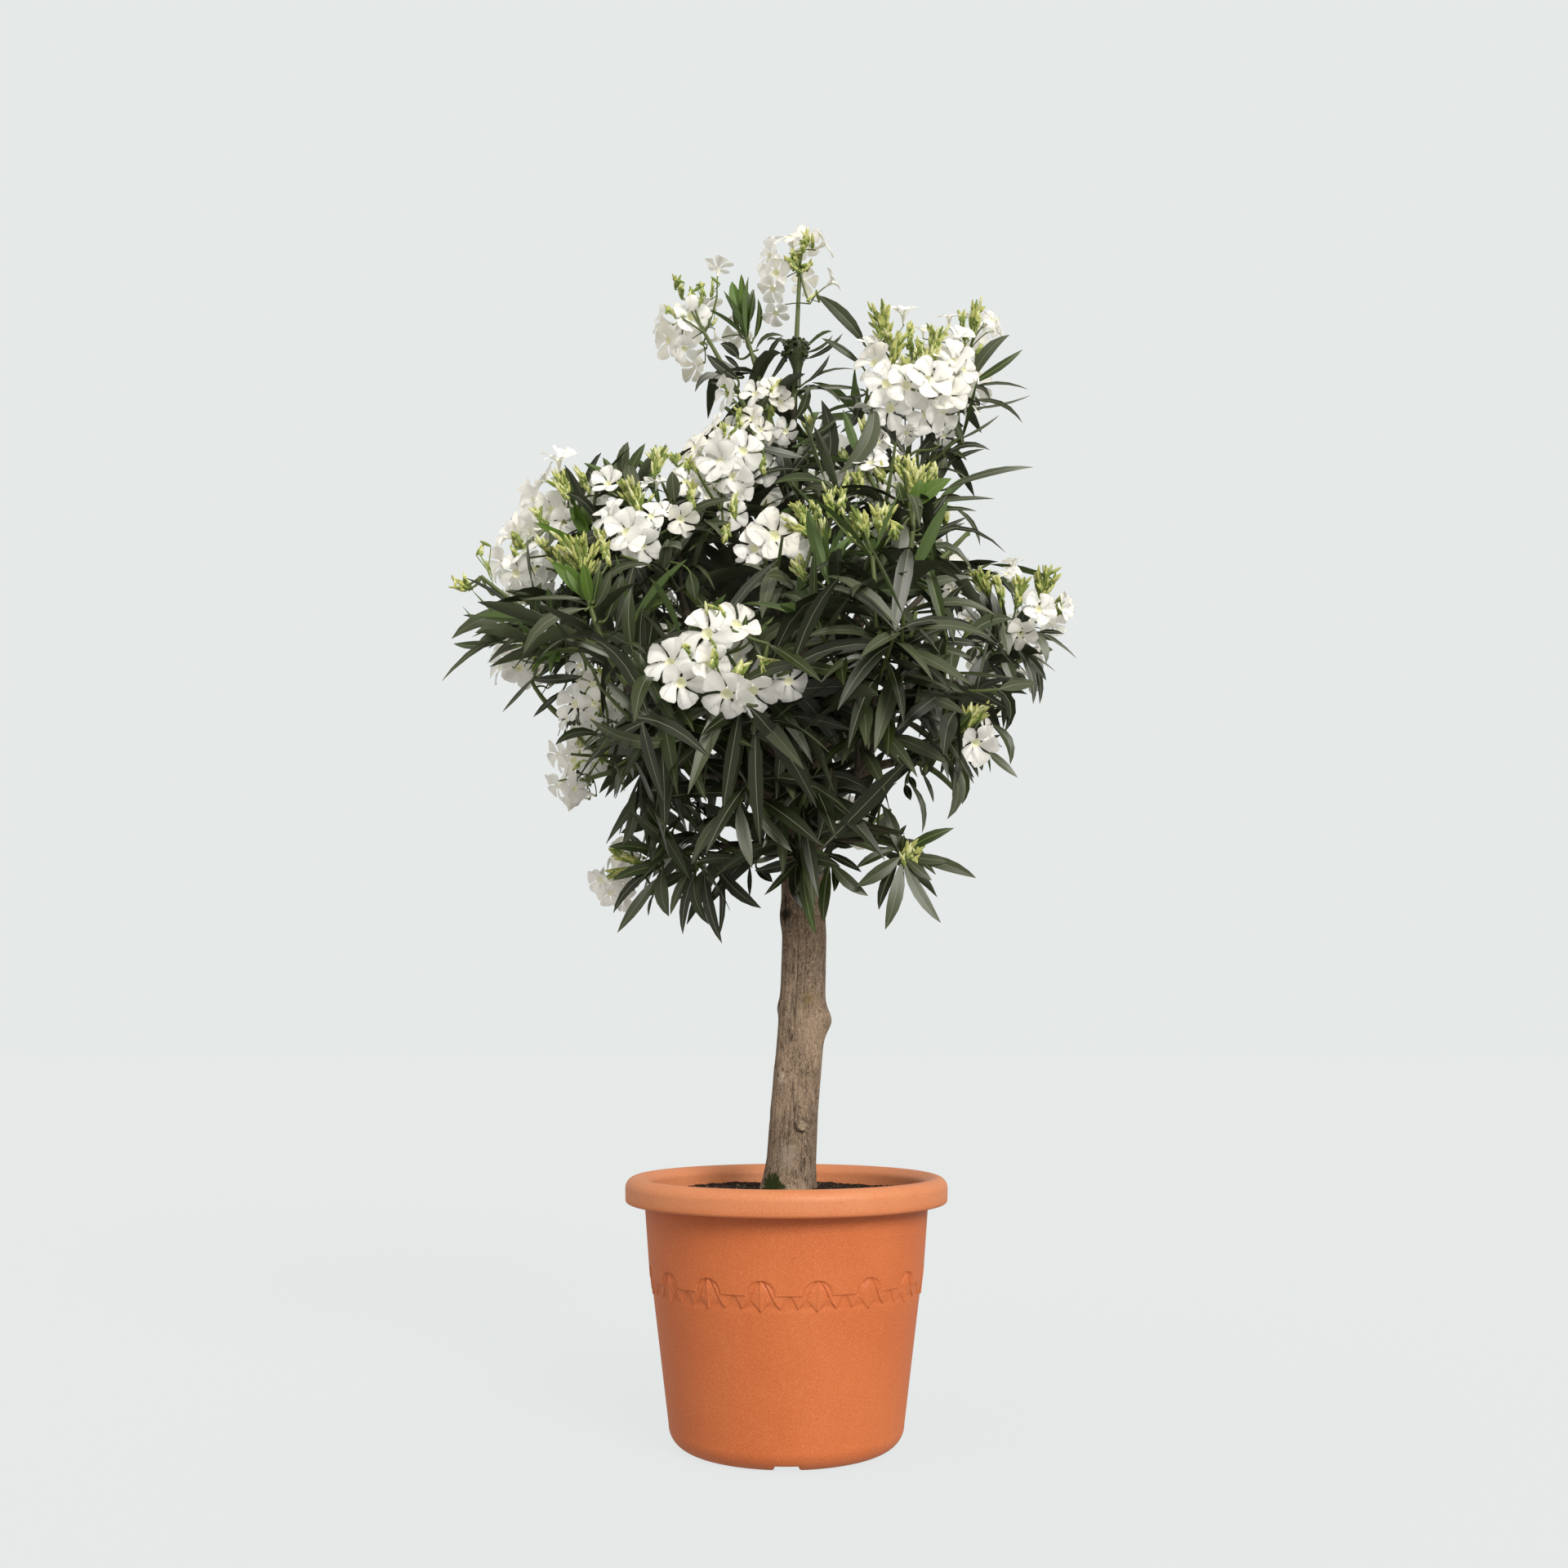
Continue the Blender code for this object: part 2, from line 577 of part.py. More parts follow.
def clearance_of(name, paths):
    """A cutter: the limb, thicker by the gap all over."""
    path, radii = paths[name]
    if name == "trunk":
        cutter = make_trunk(None)
        cutter.name = "cut_trunk"
        for vertex in cutter.data.vertices:
            middle = np.array([np.interp(vertex.co.z, path[:, 2], path[:, 0]), 0.0, vertex.co.z])
            out = np.array(vertex.co) - middle
            vertex.co = middle + out * (1 + 1.6 * GAP / max(np.linalg.norm(out), 1e-6))
            if vertex.co.z > TRUNK_STATIONS[-1][0] - 1e-4:
                vertex.co.z += GAP
        return cutter
    sides = bough_sides(name)
    direction = unit(path[-1] - path[-2])
    longer = np.vstack([path[:-1], path[-1] + direction * GAP])
    return closed_tube("cut_" + name, tube_rings(longer, radii + 1.3 * GAP, sides), None)


def dense(path, step=0.004):
    """The path with a point at least every step."""
    pieces = [path[:1]]
    for a, b in zip(path[:-1], path[1:]):
        count = max(1, int(math.ceil(np.linalg.norm(b - a) / step)))
        share = np.linspace(0, 1, count + 1)[1:, None]
        pieces.append(a + (b - a) * share)
    return np.concatenate(pieces)


# ---------------------------------------------------------------- growth rule of the crown
def mass_foot(name, paths):
    """Where a mass's stem starts and the direction it goes in."""
    source = MASSES[name][0]
    if isinstance(source, str):
        path = paths[source][0]
        direction = unit(path[-1] - path[-2])
        return path[-1] + direction * GAP, direction
    path, radii = paths["trunk"]
    centre = np.array([np.interp(source, path[:, 2], path[:, 0]), 0.0, source])
    turn = math.radians(TRUNK_MASS_TURN[name])
    direction = unit(np.array([math.cos(turn), math.sin(turn), 0.15]))
    return centre, direction


def shoot_curve(start, leaving, end, count):
    """A shoot's middle line: it leaves along its stem and turns towards its tip."""
    chord = end - start
    reach = np.linalg.norm(chord)
    bend = 0.30 if end[2] > start[2] else -0.15
    out = unit(0.9 * unit(chord) + 0.6 * leaving - bend * UP)
    return curve(start, start + out * reach * 0.45, end, count)


def add_twig(twigs, mass, path, radii, order, head, size):
    """Notes a twig of a mass."""
    twigs[mass].append({"path": path, "radii": radii, "order": order, "head": head, "size": size})


def grow(paths):
    """The twigs of every mass: first all stems and named shoots, then the side shoots that find room."""
    twigs = {name: [] for name in MASSES}
    for name, (source, tips) in MASSES.items():
        foot, direction = mass_foot(name, paths)
        on_trunk = not isinstance(source, str)
        fork = foot + direction * (STEM_LENGTH + (0.030 if on_trunk else 0.0))
        thick = 0.0050 if on_trunk else BOUGHS[source][4] * 0.92
        add_twig(twigs, name, np.array([foot, fork]), (thick, thick * 0.85), 0, None, 1.0)
        for tip, head, size in tips:
            path = shoot_curve(fork - direction * 0.004, direction, np.array(tip), len(SHOOT_RADII))
            add_twig(twigs, name, path, SHOOT_RADII, 1, head, size)
    for name in MASSES:
        random = np.random.default_rng([SEED, sorted(MASSES).index(name)])
        for twig in list(twigs[name]):
            if twig["order"] != 1:
                continue
            turn = random.uniform(0, 2 * math.pi)
            for k in range(SIDE_SHOOTS):
                turn += GOLDEN_TURN
                share = 0.35 + 0.35 * (k + random.uniform(0.2, 0.8)) / SIDE_SHOOTS
                path = side_curve(twig["path"], share, turn, SIDE_LENGTH * random.uniform(0.8, 1.2))
                if Space(twigs, paths).twig_room(name, path[1:]) > TWIG_ROOM:
                    add_twig(twigs, name, path, SIDE_RADII, 2, "leaf", 0.85)
    return twigs


def side_curve(parent, share, turn, reach):
    """A side shoot's middle line: it leaves its parent at a slant, on the side that turn gives."""
    base, along = point_at(parent, share)
    across = unit(np.cross(along, UP + 0.01))
    other = np.cross(along, across)
    out = unit(0.70 * along + 0.80 * (math.cos(turn) * across + math.sin(turn) * other) + 0.15 * UP)
    end = base + out * reach
    return curve(base, base + out * reach * 0.5 - UP * 0.006, end, len(SIDE_RADII))


def leaf_sites(twig, spacing, random):
    """Foot, direction, width direction, size and youth of each leaf, in whorls of three up the twig."""
    path = twig["path"]
    length = np.linalg.norm(np.diff(path, axis=0), axis=1).sum()
    bare = BARE_SHARE * length if twig["order"] == 1 else 0.55 * length
    leafy = LEAFY_SHARE.get(twig["head"], 1.0) * length
    count = max(1, int(round((leafy - bare) / spacing)))
    sites = []
    turn = random.uniform(0, 2 * math.pi)
    for row in range(count + 1):
        along_length = bare + (leafy - bare) * row / count
        young = row / count
        foot, along = point_at(path, min(along_length / length, 0.985))
        across = unit(np.cross(along, UP + 0.013))
        other = np.cross(along, across)
        turn += math.pi / WHORL
        for k in range(WHORL):
            angle = turn + k * 2 * math.pi / WHORL + random.uniform(-0.25, 0.25)
            out = math.cos(angle) * across + math.sin(angle) * other
            lean = math.radians(86 - 46 * young + random.uniform(-8, 8))
            direction = unit(math.cos(lean) * along + math.sin(lean) * out)
            width = unit(np.cross(direction, along + 0.02 * out))
            size = (1.0 - 0.25 * young) * random.uniform(0.88, 1.08) * min(1.0, twig["size"] + 0.1)
            sites.append((foot, direction, width, size, young))
    return sites


def leaf_line(foot, direction, length, droop, count):
    """The middle line of a leaf: it leaves along its direction and hangs over more and more."""
    t = np.linspace(0.0, 1.0, count)[:, None]
    straight = direction * t
    fall = -UP * droop * t**2
    line = straight + fall
    line = line / np.linalg.norm(line[-1]) if count > 1 else line
    return foot + line * length


# ---------------------------------------------------------------- solids of the crown
def leaf_shape(foot, direction, width, size, young, share):
    """A leaf of six faces: its two ends, and the edges and the keel at its widest place. And sample points."""
    length = LEAF_LENGTH * size * share
    droop = 0.55 * (1 - 0.75 * young)
    line = leaf_line(foot - direction * ROOT_DEPTH, direction, length, droop, 9)
    along = unit(line[5] - line[3])
    width = unit(width - along * (width @ along))
    keel = np.cross(width, along)
    keel = -keel if keel[2] > 0 else keel
    half = width * LEAF_WIDTH * size / 2
    vertices = np.array([line[0], line[-1], line[4] - half, line[4] + half, line[4] + keel * LEAF_THICK])
    faces = [(0, 2, 3), (1, 3, 2), (0, 3, 4), (1, 4, 3), (0, 4, 2), (1, 2, 4)]
    samples = np.concatenate([line[1:], line[3:6] - half, line[3:6] + half, vertices[4:]])
    return vertices, faces, samples


def facing_out(vertices, faces):
    """The faces of a small solid, turned outward."""
    volume = sum(np.dot(vertices[a], np.cross(vertices[b], vertices[c])) for a, b, c in faces)
    return [(c, b, a) for a, b, c in faces] if volume < 0 else faces


def trimmed_tree(vertices, faces, share):
    """A search tree of the piece with its first corner, the root, moved a share of the way out."""
    moved = vertices.copy()
    moved[0] = vertices[0] + share * (vertices[1] - vertices[0])
    return BVHTree.FromPolygons([tuple(v) for v in moved], faces)


def head_sites(twig, random):
    """Foot, direction, reach and kind of each flower and bud at the end of a shoot."""
    path = twig["path"]
    along = unit(path[-1] - path[-2])
    across = unit(np.cross(along, UP + 0.013))
    other = np.cross(along, across)
    flowers = round(FLOWERS[twig["head"]] * twig["size"])
    buds = round(BUDS[twig["head"]] * twig["size"])
    sites = []
    turn = random.uniform(0, 2 * math.pi)
    for row, kind in enumerate(["flower"] * flowers + ["bud"] * buds):
        count = flowers if kind == "flower" else buds
        turn += 2 * math.pi / count if count else 0.0
        if kind == "flower":
            lean = 42 if twig["head"] == "spire" else random.uniform(56, 78)
        else:
            lean = 6 if row == flowers + buds - 1 else 34
        lean = math.radians(lean)
        direction = unit(
            math.cos(lean) * along + math.sin(lean) * (math.cos(turn) * across + math.sin(turn) * other)
        )
        foot = path[-1] - along * (0.003 + 0.004 * (row % 3))
        reach = (FLOWER_REACH if kind == "flower" else BUD_REACH) * twig["size"] ** 0.5
        sites.append((foot, direction, reach, kind))
    return sites


def flower_shape(foot, direction, reach):
    """A flower of sixteen faces: a thin stalk that swells to a throat and opens to five points."""
    across = unit(np.cross(direction, UP + 0.017))
    other = np.cross(direction, across)
    rings = []
    for count, share, radius in ((3, THROAT_SHARE, THROAT_RADIUS), (5, 1.0, FLOWER_RADIUS)):
        turns = np.arange(count) * 2 * math.pi / count
        ring = np.outer(np.cos(turns), across) + np.outer(np.sin(turns), other)
        rings.append(foot + direction * reach * share + radius * ring)
    heart = foot + direction * (reach - 0.010)
    vertices = np.array([foot - direction * ROOT_DEPTH, heart, *rings[0], *rings[1]])
    faces = [(0, 3, 2), (0, 4, 3), (0, 2, 4)]
    faces += [(2, 6, 5), (2, 3, 6), (3, 7, 6), (3, 8, 7), (3, 4, 8), (4, 9, 8), (4, 2, 9), (2, 5, 9)]
    faces += [(1, 5 + k, 5 + (k + 1) % 5) for k in range(5)]
    return vertices, faces, vertices[1:]


def bud_shape(foot, direction, reach):
    """A closed bud with its stalk: a slim three-sided spindle."""
    across = unit(np.cross(direction, UP + 0.017))
    other = np.cross(direction, across)
    waist = [
        foot + direction * reach * 0.7 + BUD_RADIUS * (math.cos(a) * across + math.sin(a) * other)
        for a in np.arange(3) * 2 * math.pi / 3
    ]
    vertices = np.array([foot - direction * ROOT_DEPTH, foot + direction * reach, *waist])
    faces = []
    for k in range(3):
        nxt = (k + 1) % 3
        faces.append((0, 2 + nxt, 2 + k))
        faces.append((1, 2 + k, 2 + nxt))
    return vertices, faces, vertices[1:]


class Space:
    """Tells which mass a point belongs to: the one whose twigs are nearest, and how clear it is of limbs."""

    def __init__(self, twigs_by_mass, paths):
        points, owners = [], []
        for index, name in enumerate(twigs_by_mass):
            for twig in twigs_by_mass[name]:
                line = dense(twig["path"])
                points.append(line)
                owners.append(np.full(len(line), index))
        self.points = np.concatenate(points)
        self.owners = np.concatenate(owners)
        self.names = list(twigs_by_mass)
        limb_points, limb_radii = [], []
        for path, radii in paths.values():
            line = dense(path)
            limb_points.append(line)
            along = np.linspace(0, 1, len(line))
            limb_radii.append(np.interp(along, np.linspace(0, 1, len(radii)), radii))
        self.limb_points = np.concatenate(limb_points)
        self.limb_radii = np.concatenate(limb_radii)

    def room(self, name, samples):
        """How much nearer every sample lies to its own mass's twigs than to any other's."""
        apart = np.linalg.norm(samples[:, None] - self.points[None], axis=2)
        own = self.owners == self.names.index(name)
        return (apart[:, ~own].min(axis=1) - apart[:, own].min(axis=1)).min()

    def twig_room(self, name, samples):
        """The least distance from the samples to another mass's twigs or a limb's bark."""
        apart = np.linalg.norm(samples[:, None] - self.points[None], axis=2)
        other = self.owners != self.names.index(name)
        return min(apart[:, other].min(), self.clear_of_limbs(samples))

    def clear_of_limbs(self, samples):
        """The least distance from the samples to a limb's bark."""
        apart = np.linalg.norm(samples[:, None] - self.limb_points[None], axis=2) - self.limb_radii
        return apart.min()

    def holds(self, name, samples):
        """True where a piece with these sample points may stand."""
        if (samples < CROWN_LOW).any() or (samples > CROWN_HIGH).any():
            return False
        nearer = EYE_DISTANCE / (EYE_DISTANCE + samples[:, 1])
        across = samples[:, 0] * nearer
        height = EYE_HEIGHT + (samples[:, 2] - EYE_HEIGHT) * nearer
        left = np.interp(height, CROWN_OUTLINE[:, 0], CROWN_OUTLINE[:, 1])
        right = np.interp(height, CROWN_OUTLINE[:, 0], CROWN_OUTLINE[:, 2])
        if (across < left).any() or (across > right).any():
            return False
        return self.room(name, samples) > SPACE_MARGIN and self.clear_of_limbs(samples) > LIMB_MARGIN


def make_mass(name, twigs, space, finishes):
    """One mass: its twigs, leaves, flowers and buds that find room, joined into one solid."""
    random = np.random.default_rng([SEED + 1, sorted(MASSES).index(name)])
    pieces, trees = [], []
    for twig in twigs:
        rings = tube_rings(twig["path"], twig["radii"], 8 if twig["order"] == 0 else 3)
        pieces.append(closed_tube(f"{name}_twig_{len(pieces)}", rings, finishes["leaf"], smooth=False))
    kept = 0
    for row, twig in enumerate(twigs):
        if twig["order"] == 0:
            continue
        other_twigs = [tree_of(pieces[k]) for k in range(1, len(twigs)) if k != row]
        wanted = []
        for foot, direction, reach, kind in head_sites(twig, random):
            shape = flower_shape if kind == "flower" else bud_shape
            wanted.append(([shape(foot, direction, reach)], HEAD_TRIM, kind))
        for site in leaf_sites(twig, WHORL_SPACING, random):
            wanted.append(([leaf_shape(*site, share) for share in LEAF_SIZES], LEAF_TRIM, "leaf"))
        for choices, trim, kind in wanted:
            for vertices, faces, samples in choices:
                tree = trimmed_tree(vertices, faces, trim)
                crossed = any(tree.overlap(other) for other in trees + other_twigs)
                if not crossed and space.holds(name, samples):
                    finish = finishes[{"flower": "petal", "bud": "bud", "leaf": "leaf"}[kind]]
                    label = f"{name}_{kind}_{len(pieces)}"
                    pieces.append(mesh_object(label, vertices, facing_out(vertices, faces), finish, smooth=False))
                    trees.append(tree)
                    kept += kind == "leaf"
                    break
    solid = pieces[0]
    solid.name = "crown_" + name
    boolean(solid, pieces[1:], "UNION", "MANIFOLD")
    return solid, kept


def tree_of(obj):
    """A search tree of an object's faces."""
    corners = [tuple(vertex.co) for vertex in obj.data.vertices]
    return BVHTree.FromPolygons(corners, [tuple(face.vertices) for face in obj.data.polygons])


def cut_from_trunk(solid, paths):
    """Seats a mass that grows straight from the trunk: its stem is cut to the bark."""
    boolean(solid, [clearance_of("trunk", paths)], "DIFFERENCE", "MANIFOLD")


def main():
    clear_scene()
    finishes = {
        "pot": material("terracotta_plastic", (0.66, 0.22, 0.085), 0.55),
        "soil": material("potting_soil", (0.035, 0.020, 0.014), 0.95),
        "bark": material("bark", (0.27, 0.20, 0.14), 0.85),
        "leaf": material("leaf", (0.045, 0.065, 0.032), 0.45),
        "petal": material("petal", (0.90, 0.89, 0.84), 0.55),
        "bud": material("bud", (0.46, 0.50, 0.13), 0.55),
    }
    make_pot(finishes["pot"])
    make_soil(finishes["soil"])
    make_trunk(finishes["bark"])
    paths = bough_paths()
    make_boughs(paths, finishes["bark"])
    twigs_by_mass = grow(paths)
    space = Space(twigs_by_mass, paths)
    total = 0
    for name, twigs in twigs_by_mass.items():
        solid, kept = make_mass(name, twigs, space, finishes)
        if not isinstance(MASSES[name][0], str):
            cut_from_trunk(solid, paths)
        total += kept
    print("leaves kept:", total)


main()
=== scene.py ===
"""Looks for a potted oleander standard: its pot, soil, bark, boughs, leafy shoots and white blossom.

Every shape is worked out as whole arrays: rings carried along a middle line, or a height over a grid.
The crown grows by one seeded rule from the same named tips as the solids that it stands for.
"""

import math

import bpy
import numpy as np
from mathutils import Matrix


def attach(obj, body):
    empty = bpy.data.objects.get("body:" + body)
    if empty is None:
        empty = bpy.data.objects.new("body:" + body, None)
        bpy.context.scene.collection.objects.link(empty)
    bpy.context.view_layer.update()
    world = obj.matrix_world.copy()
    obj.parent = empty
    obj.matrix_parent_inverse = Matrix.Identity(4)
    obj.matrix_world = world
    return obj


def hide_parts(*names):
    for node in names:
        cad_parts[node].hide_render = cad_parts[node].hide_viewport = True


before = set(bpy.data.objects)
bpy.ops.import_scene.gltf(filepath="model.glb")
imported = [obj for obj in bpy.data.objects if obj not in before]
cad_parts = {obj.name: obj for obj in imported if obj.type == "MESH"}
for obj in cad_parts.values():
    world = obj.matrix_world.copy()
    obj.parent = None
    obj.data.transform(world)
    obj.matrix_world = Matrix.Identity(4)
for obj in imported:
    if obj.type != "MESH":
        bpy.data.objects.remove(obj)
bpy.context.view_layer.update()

# ---------------------------------------------------------------- pot, soil and trunk, in metres
POT_HEIGHT = 0.317
RIM_RADIUS = 0.200
RIM_HEIGHT = 0.031
RIM_ROUND = 0.013
WALL = 0.0045
NECK_RADIUS = 0.1768
NECK_HEIGHT = POT_HEIGHT - RIM_ROUND - 0.002  # where the upper wall meets the rim's underside
BELT_HEIGHT = 0.190
BELT_RADIUS = 0.1678
BELT_STEP = 0.0024
BAND_TOP = 0.2170
BAND_LOW = 0.1765
FOOT_RADIUS = 0.1433
FOOT_ROUND = 0.026
FLOOR = 0.009
NOTCHES = 4
NOTCH_WIDTH = 0.029
NOTCH_HEIGHT = 0.0075
NOTCH_INNER = 0.0885
DRAIN_AT = 0.096
DRAIN_RADIUS = 0.0062
MOTIFS = 16
MOTIF_TURN = math.radians(12.25)  # where the first motif stands, from the front
LEDGE = 0.1975  # height of the belt's straight edge
BAND_ROWS = 52
FINE_COLUMNS = 1280
COLUMNS = 320

SOIL_TOP = 0.298
SOIL_LEVEL = SOIL_TOP - 0.0022
SOIL_UNDER = 0.286
SOIL_GRID = (92, 288)  # rings and points round
CRUMBS = 2600
GAP = 0.0003
# The trunk: height, place across, radius.
TRUNK_STATIONS = np.array((
    (SOIL_TOP + GAP, 0.002, 0.0340), (0.312, 0.003, 0.0316), (0.340, 0.006, 0.0300), (0.396, 0.009, 0.0294),
    (0.455, 0.015, 0.0286), (0.506, 0.019, 0.0288), (0.557, 0.021, 0.0280), (0.616, 0.023, 0.0276),
    (0.692, 0.021, 0.0270), (0.770, 0.022, 0.0262), (0.812, 0.022, 0.0235), (0.830, 0.022, 0.0180),
))
TRUNK_GRID = (396, 208)
STUB_HEIGHT = 0.379  # a cut stub on the trunk's front
STUB_TURN = -70.0
STUB_RADIUS = 0.0066
# Swellings and scars of the trunk: height, turn from +X in degrees, bulge, half height, half turn.
TRUNK_KNOTS = (
    (0.508, -10, 0.0085, 0.017, 0.55), (0.379, -70, 0.0020, 0.012, 0.40), (0.640, -150, 0.0045, 0.018, 0.55),
    (0.655, -122, -0.0030, 0.007, 0.20), (0.632, -118, 0.0030, 0.009, 0.25), (0.436, -125, 0.0030, 0.012, 0.45),
    (0.441, -118, -0.0022, 0.004, 0.16), (0.560, 95, 0.0060, 0.016, 0.55), (0.450, 150, 0.0040, 0.014, 0.55),
    (0.525, -160, 0.0030, 0.010, 0.35), (0.330, 60, 0.0025, 0.020, 0.50), (0.315, -30, 0.0020, 0.012, 0.45),
)
# Pits of the trunk: the same, with a share of the full depth in place of a bulge.
TRUNK_PITS = (
    (0.660, -147, 0.75, 0.0060, 0.17), (0.642, -136, 1.00, 0.0095, 0.20), (0.528, -156, 0.60, 0.0050, 0.14),
    (0.447, -130, 0.90, 0.0022, 0.06), (0.440, -142, 0.80, 0.0026, 0.08), (0.436, -124, 0.50, 0.0016, 0.16),
    (0.570, -62, 0.35, 0.0040, 0.12), (0.600, 60, 0.60, 0.0060, 0.20), (0.430, 120, 0.60, 0.0050, 0.20),
)
# Marks on the bark, such as moss and scars, and a painted shade in the hollow: middle, inner and outer radius,
# share, colour.
TRUNK_MARKS = (
    ((-0.016, -0.026, 0.304), 0.012, 0.021, 1.00, (0.024, 0.036, 0.006)),
    ((0.028, -0.022, 0.535), 0.002, 0.014, 0.70, (0.230, 0.160, 0.060)),
    ((0.012, -0.026, 0.520), 0.002, 0.016, 0.50, (0.420, 0.330, 0.230)),
    ((0.021, -0.034, 0.379), 0.004, 0.008, 0.60, (0.480, 0.380, 0.270)),
    ((0.022, -0.035, 0.379), 0.001, 0.003, 0.90, (0.070, 0.040, 0.022)),
    ((-0.008, -0.026, 0.438), 0.003, 0.011, 0.60, (0.500, 0.410, 0.310)),
    # painted shade: a near-black patch in the hollow at 0.642 m
    ((-0.002, -0.018, 0.642), 0.003, 0.009, 0.85, (0.030, 0.022, 0.016)),
    ((0.000, -0.032, 0.345), 0.006, 0.020, 0.45, (0.440, 0.370, 0.290)),
)

# ---------------------------------------------------------------- boughs and masses
# Boughs: parent, share of its length, tip and foot and tip radius in millimetres.
BOUGHS = {
    "leader": ("trunk", 0.985, 10, 10, 1165, 16, 7.5),
    "right": ("trunk", 0.93, 125, 5, 1100, 15, 7),
    "left": ("trunk", 0.905, -195, 10, 965, 15, 7),
    "front": ("trunk", 0.9, -35, -170, 865, 12.5, 6.5),
    "back": ("trunk", 0.94, 5, 170, 950, 14, 6.5),
    "column": ("trunk", 0.86, 78, -150, 800, 10.5, 6),
    "left_low": ("trunk", 0.87, -115, -45, 825, 9.5, 5.5),
    "right_low": ("trunk", 0.895, 135, -30, 835, 9.5, 5.5),
    "centre_left": ("leader", 0.42, -45, -35, 1095, 8, 5),
    "centre_front": ("leader", 0.22, -10, -95, 985, 8, 5),
    "back_top": ("leader", 0.52, 30, 90, 1110, 8, 5),
    "right_upper": ("right", 0.5, 130, -85, 1030, 8, 5),
    "right_out": ("right", 0.32, 205, 0, 945, 8.5, 5),
    "right_front": ("right", 0.2, 150, -100, 905, 7.5, 5),
    "right_back": ("right", 0.58, 150, 95, 1060, 8, 5),
    "left_upper": ("left", 0.42, -130, -55, 1030, 8, 5),
    "left_top": ("left", 0.62, -200, 50, 1060, 8, 5),
    "left_back": ("left", 0.3, -105, 110, 1020, 8, 5),
    "left_far": ("left", 0.72, -245, 55, 905, 7, 4.5),
    "front_left": ("front", 0.5, -110, -165, 845, 7, 5),
    "back_right": ("back", 0.45, 140, 140, 925, 8, 5),
    "back_left": ("back", 0.55, -120, 165, 920, 8, 5),
}
# Masses of foliage: bough (or height on the trunk in millimetres), and the tips of its shoots: place in
# millimetres, head, size.
MASSES = {
    "top": ("leader", (
        (19, 0, 1532, "spire", 1), (-112, -5, 1435, "bloom", 0.9), (-53, -20, 1420, "leaf", 1),
        (40, 75, 1345, "leaf", 0.9),
    )),
    "top_right": ("right", (
        (168, -55, 1345, "bloom", 1.5), (252, 45, 1425, "bloom", 0.8), (235, -30, 1270, "leaf", 1),
        (100, 0, 1310, "leaf", 1.1),
    )),
    "centre_left": ("centre_left", ((-32, -60, 1265, "bloom", 0.8), (-88, -55, 1205, "bloom", 1))),
    "centre_front": ("centre_front", ((-15, -125, 1075, "bloom", 0.8), (45, -160, 1060, "buds", 0.9))),
    "back_top": ("back_top", ((45, 165, 1300, "bloom", 0.9), (-50, 150, 1235, "bloom", 0.9))),
    "right_upper": ("right_upper", (
        (160, -120, 1160, "buds", 1), (98, -85, 1215, "bloom", 0.8), (235, -70, 1130, "leaf", 1),
    )),
    "right_back": ("right_back", ((235, 150, 1175, "bloom", 1), (150, 220, 1150, "bloom", 0.9))),
    "right_out": ("right_out", (
        (290, -5, 1005, "bloom", 1.05), (300, 40, 930, "leaf", 1), (265, 110, 1020, "leaf", 0.9),
    )),
    "right_front": ("right_front", ((225, -170, 985, "leaf", 1), (205, -185, 900, "leaf", 1))),
    "right_low": ("right_low", (
        (222, -95, 840, "buds", 0.9), (225, -20, 790, "leaf", 1), (165, -150, 800, "leaf", 1),
    )),
    "column": ("column", (
        (100, -250, 1040, "buds", 0.9), (50, -235, 1010, "buds", 0.8), (150, -245, 975, "leaf", 0.9),
    )),
    "centre": ("front", (
        (-70, -285, 880, "bloom", 1.15), (-20, -290, 925, "leaf", 0.9), (0, -235, 860, "leaf", 1),
    )),
    "front_left": ("front_left", (
        (-240, -200, 1015, "buds", 1.1), (-150, -255, 900, "leaf", 1), (-190, -170, 835, "leaf", 1),
    )),
    "left_upper": ("left_upper", (
        (-175, -130, 1100, "bloom", 1.1), (-125, -20, 1215, "buds", 1), (-210, -30, 1185, "leaf", 1),
    )),
    "left_top": ("left_top", (
        (-300, 20, 1190, "bloom", 1), (-262, -40, 1120, "buds", 1.1), (-240, 105, 1150, "bloom", 0.9),
    )),
    "left": ("left", (
        (-330, -5, 1075, "bloom", 1.1), (-400, -30, 1083, "stalk", 1), (-285, -115, 960, "leaf", 1),
    )),
    "left_far": ("left_far", ((-350, 90, 970, "bloom", 1), (-285, 60, 900, "leaf", 0.9))),
    "left_low": ("left_low", (
        (-232, -65, 880, "bloom", 1), (-255, -45, 810, "bloom", 0.9), (-175, -125, 770, "leaf", 1),
    )),
    "left_back": ("left_back", ((-160, 210, 1110, "bloom", 1), (-70, 195, 1120, "leaf", 0.9))),
    "back": ("back", ((20, 310, 1010, "bloom", 1), (-55, 300, 930, "leaf", 1), (85, 275, 940, "leaf", 1))),
    "back_right": ("back_right", ((250, 225, 990, "bloom", 1), (235, 200, 880, "leaf", 1))),
    "back_left": ("back_left", ((-245, 235, 970, "bloom", 1), (-175, 235, 880, "leaf", 1))),
    "low_left": (725, ((-190, -45, 700, "bloom", 0.7), (-110, -85, 695, "leaf", 1))),
    "low_right": (728, ((150, -95, 715, "stub", 0.8), (120, -20, 720, "leaf", 1))),
    "low_front": (722, (
        (-46, -230, 775, "leaf", 1.1), (28, -215, 785, "leaf", 1), (18, -125, 715, "leaf", 0.9),
    )),
    "low_back_right": (742, ((145, 150, 800, "leaf", 1), (65, 180, 765, "bloom", 0.8))),
    "low_back_left": (722, ((-135, 120, 760, "leaf", 1), (-45, 165, 730, "leaf", 1))),
}
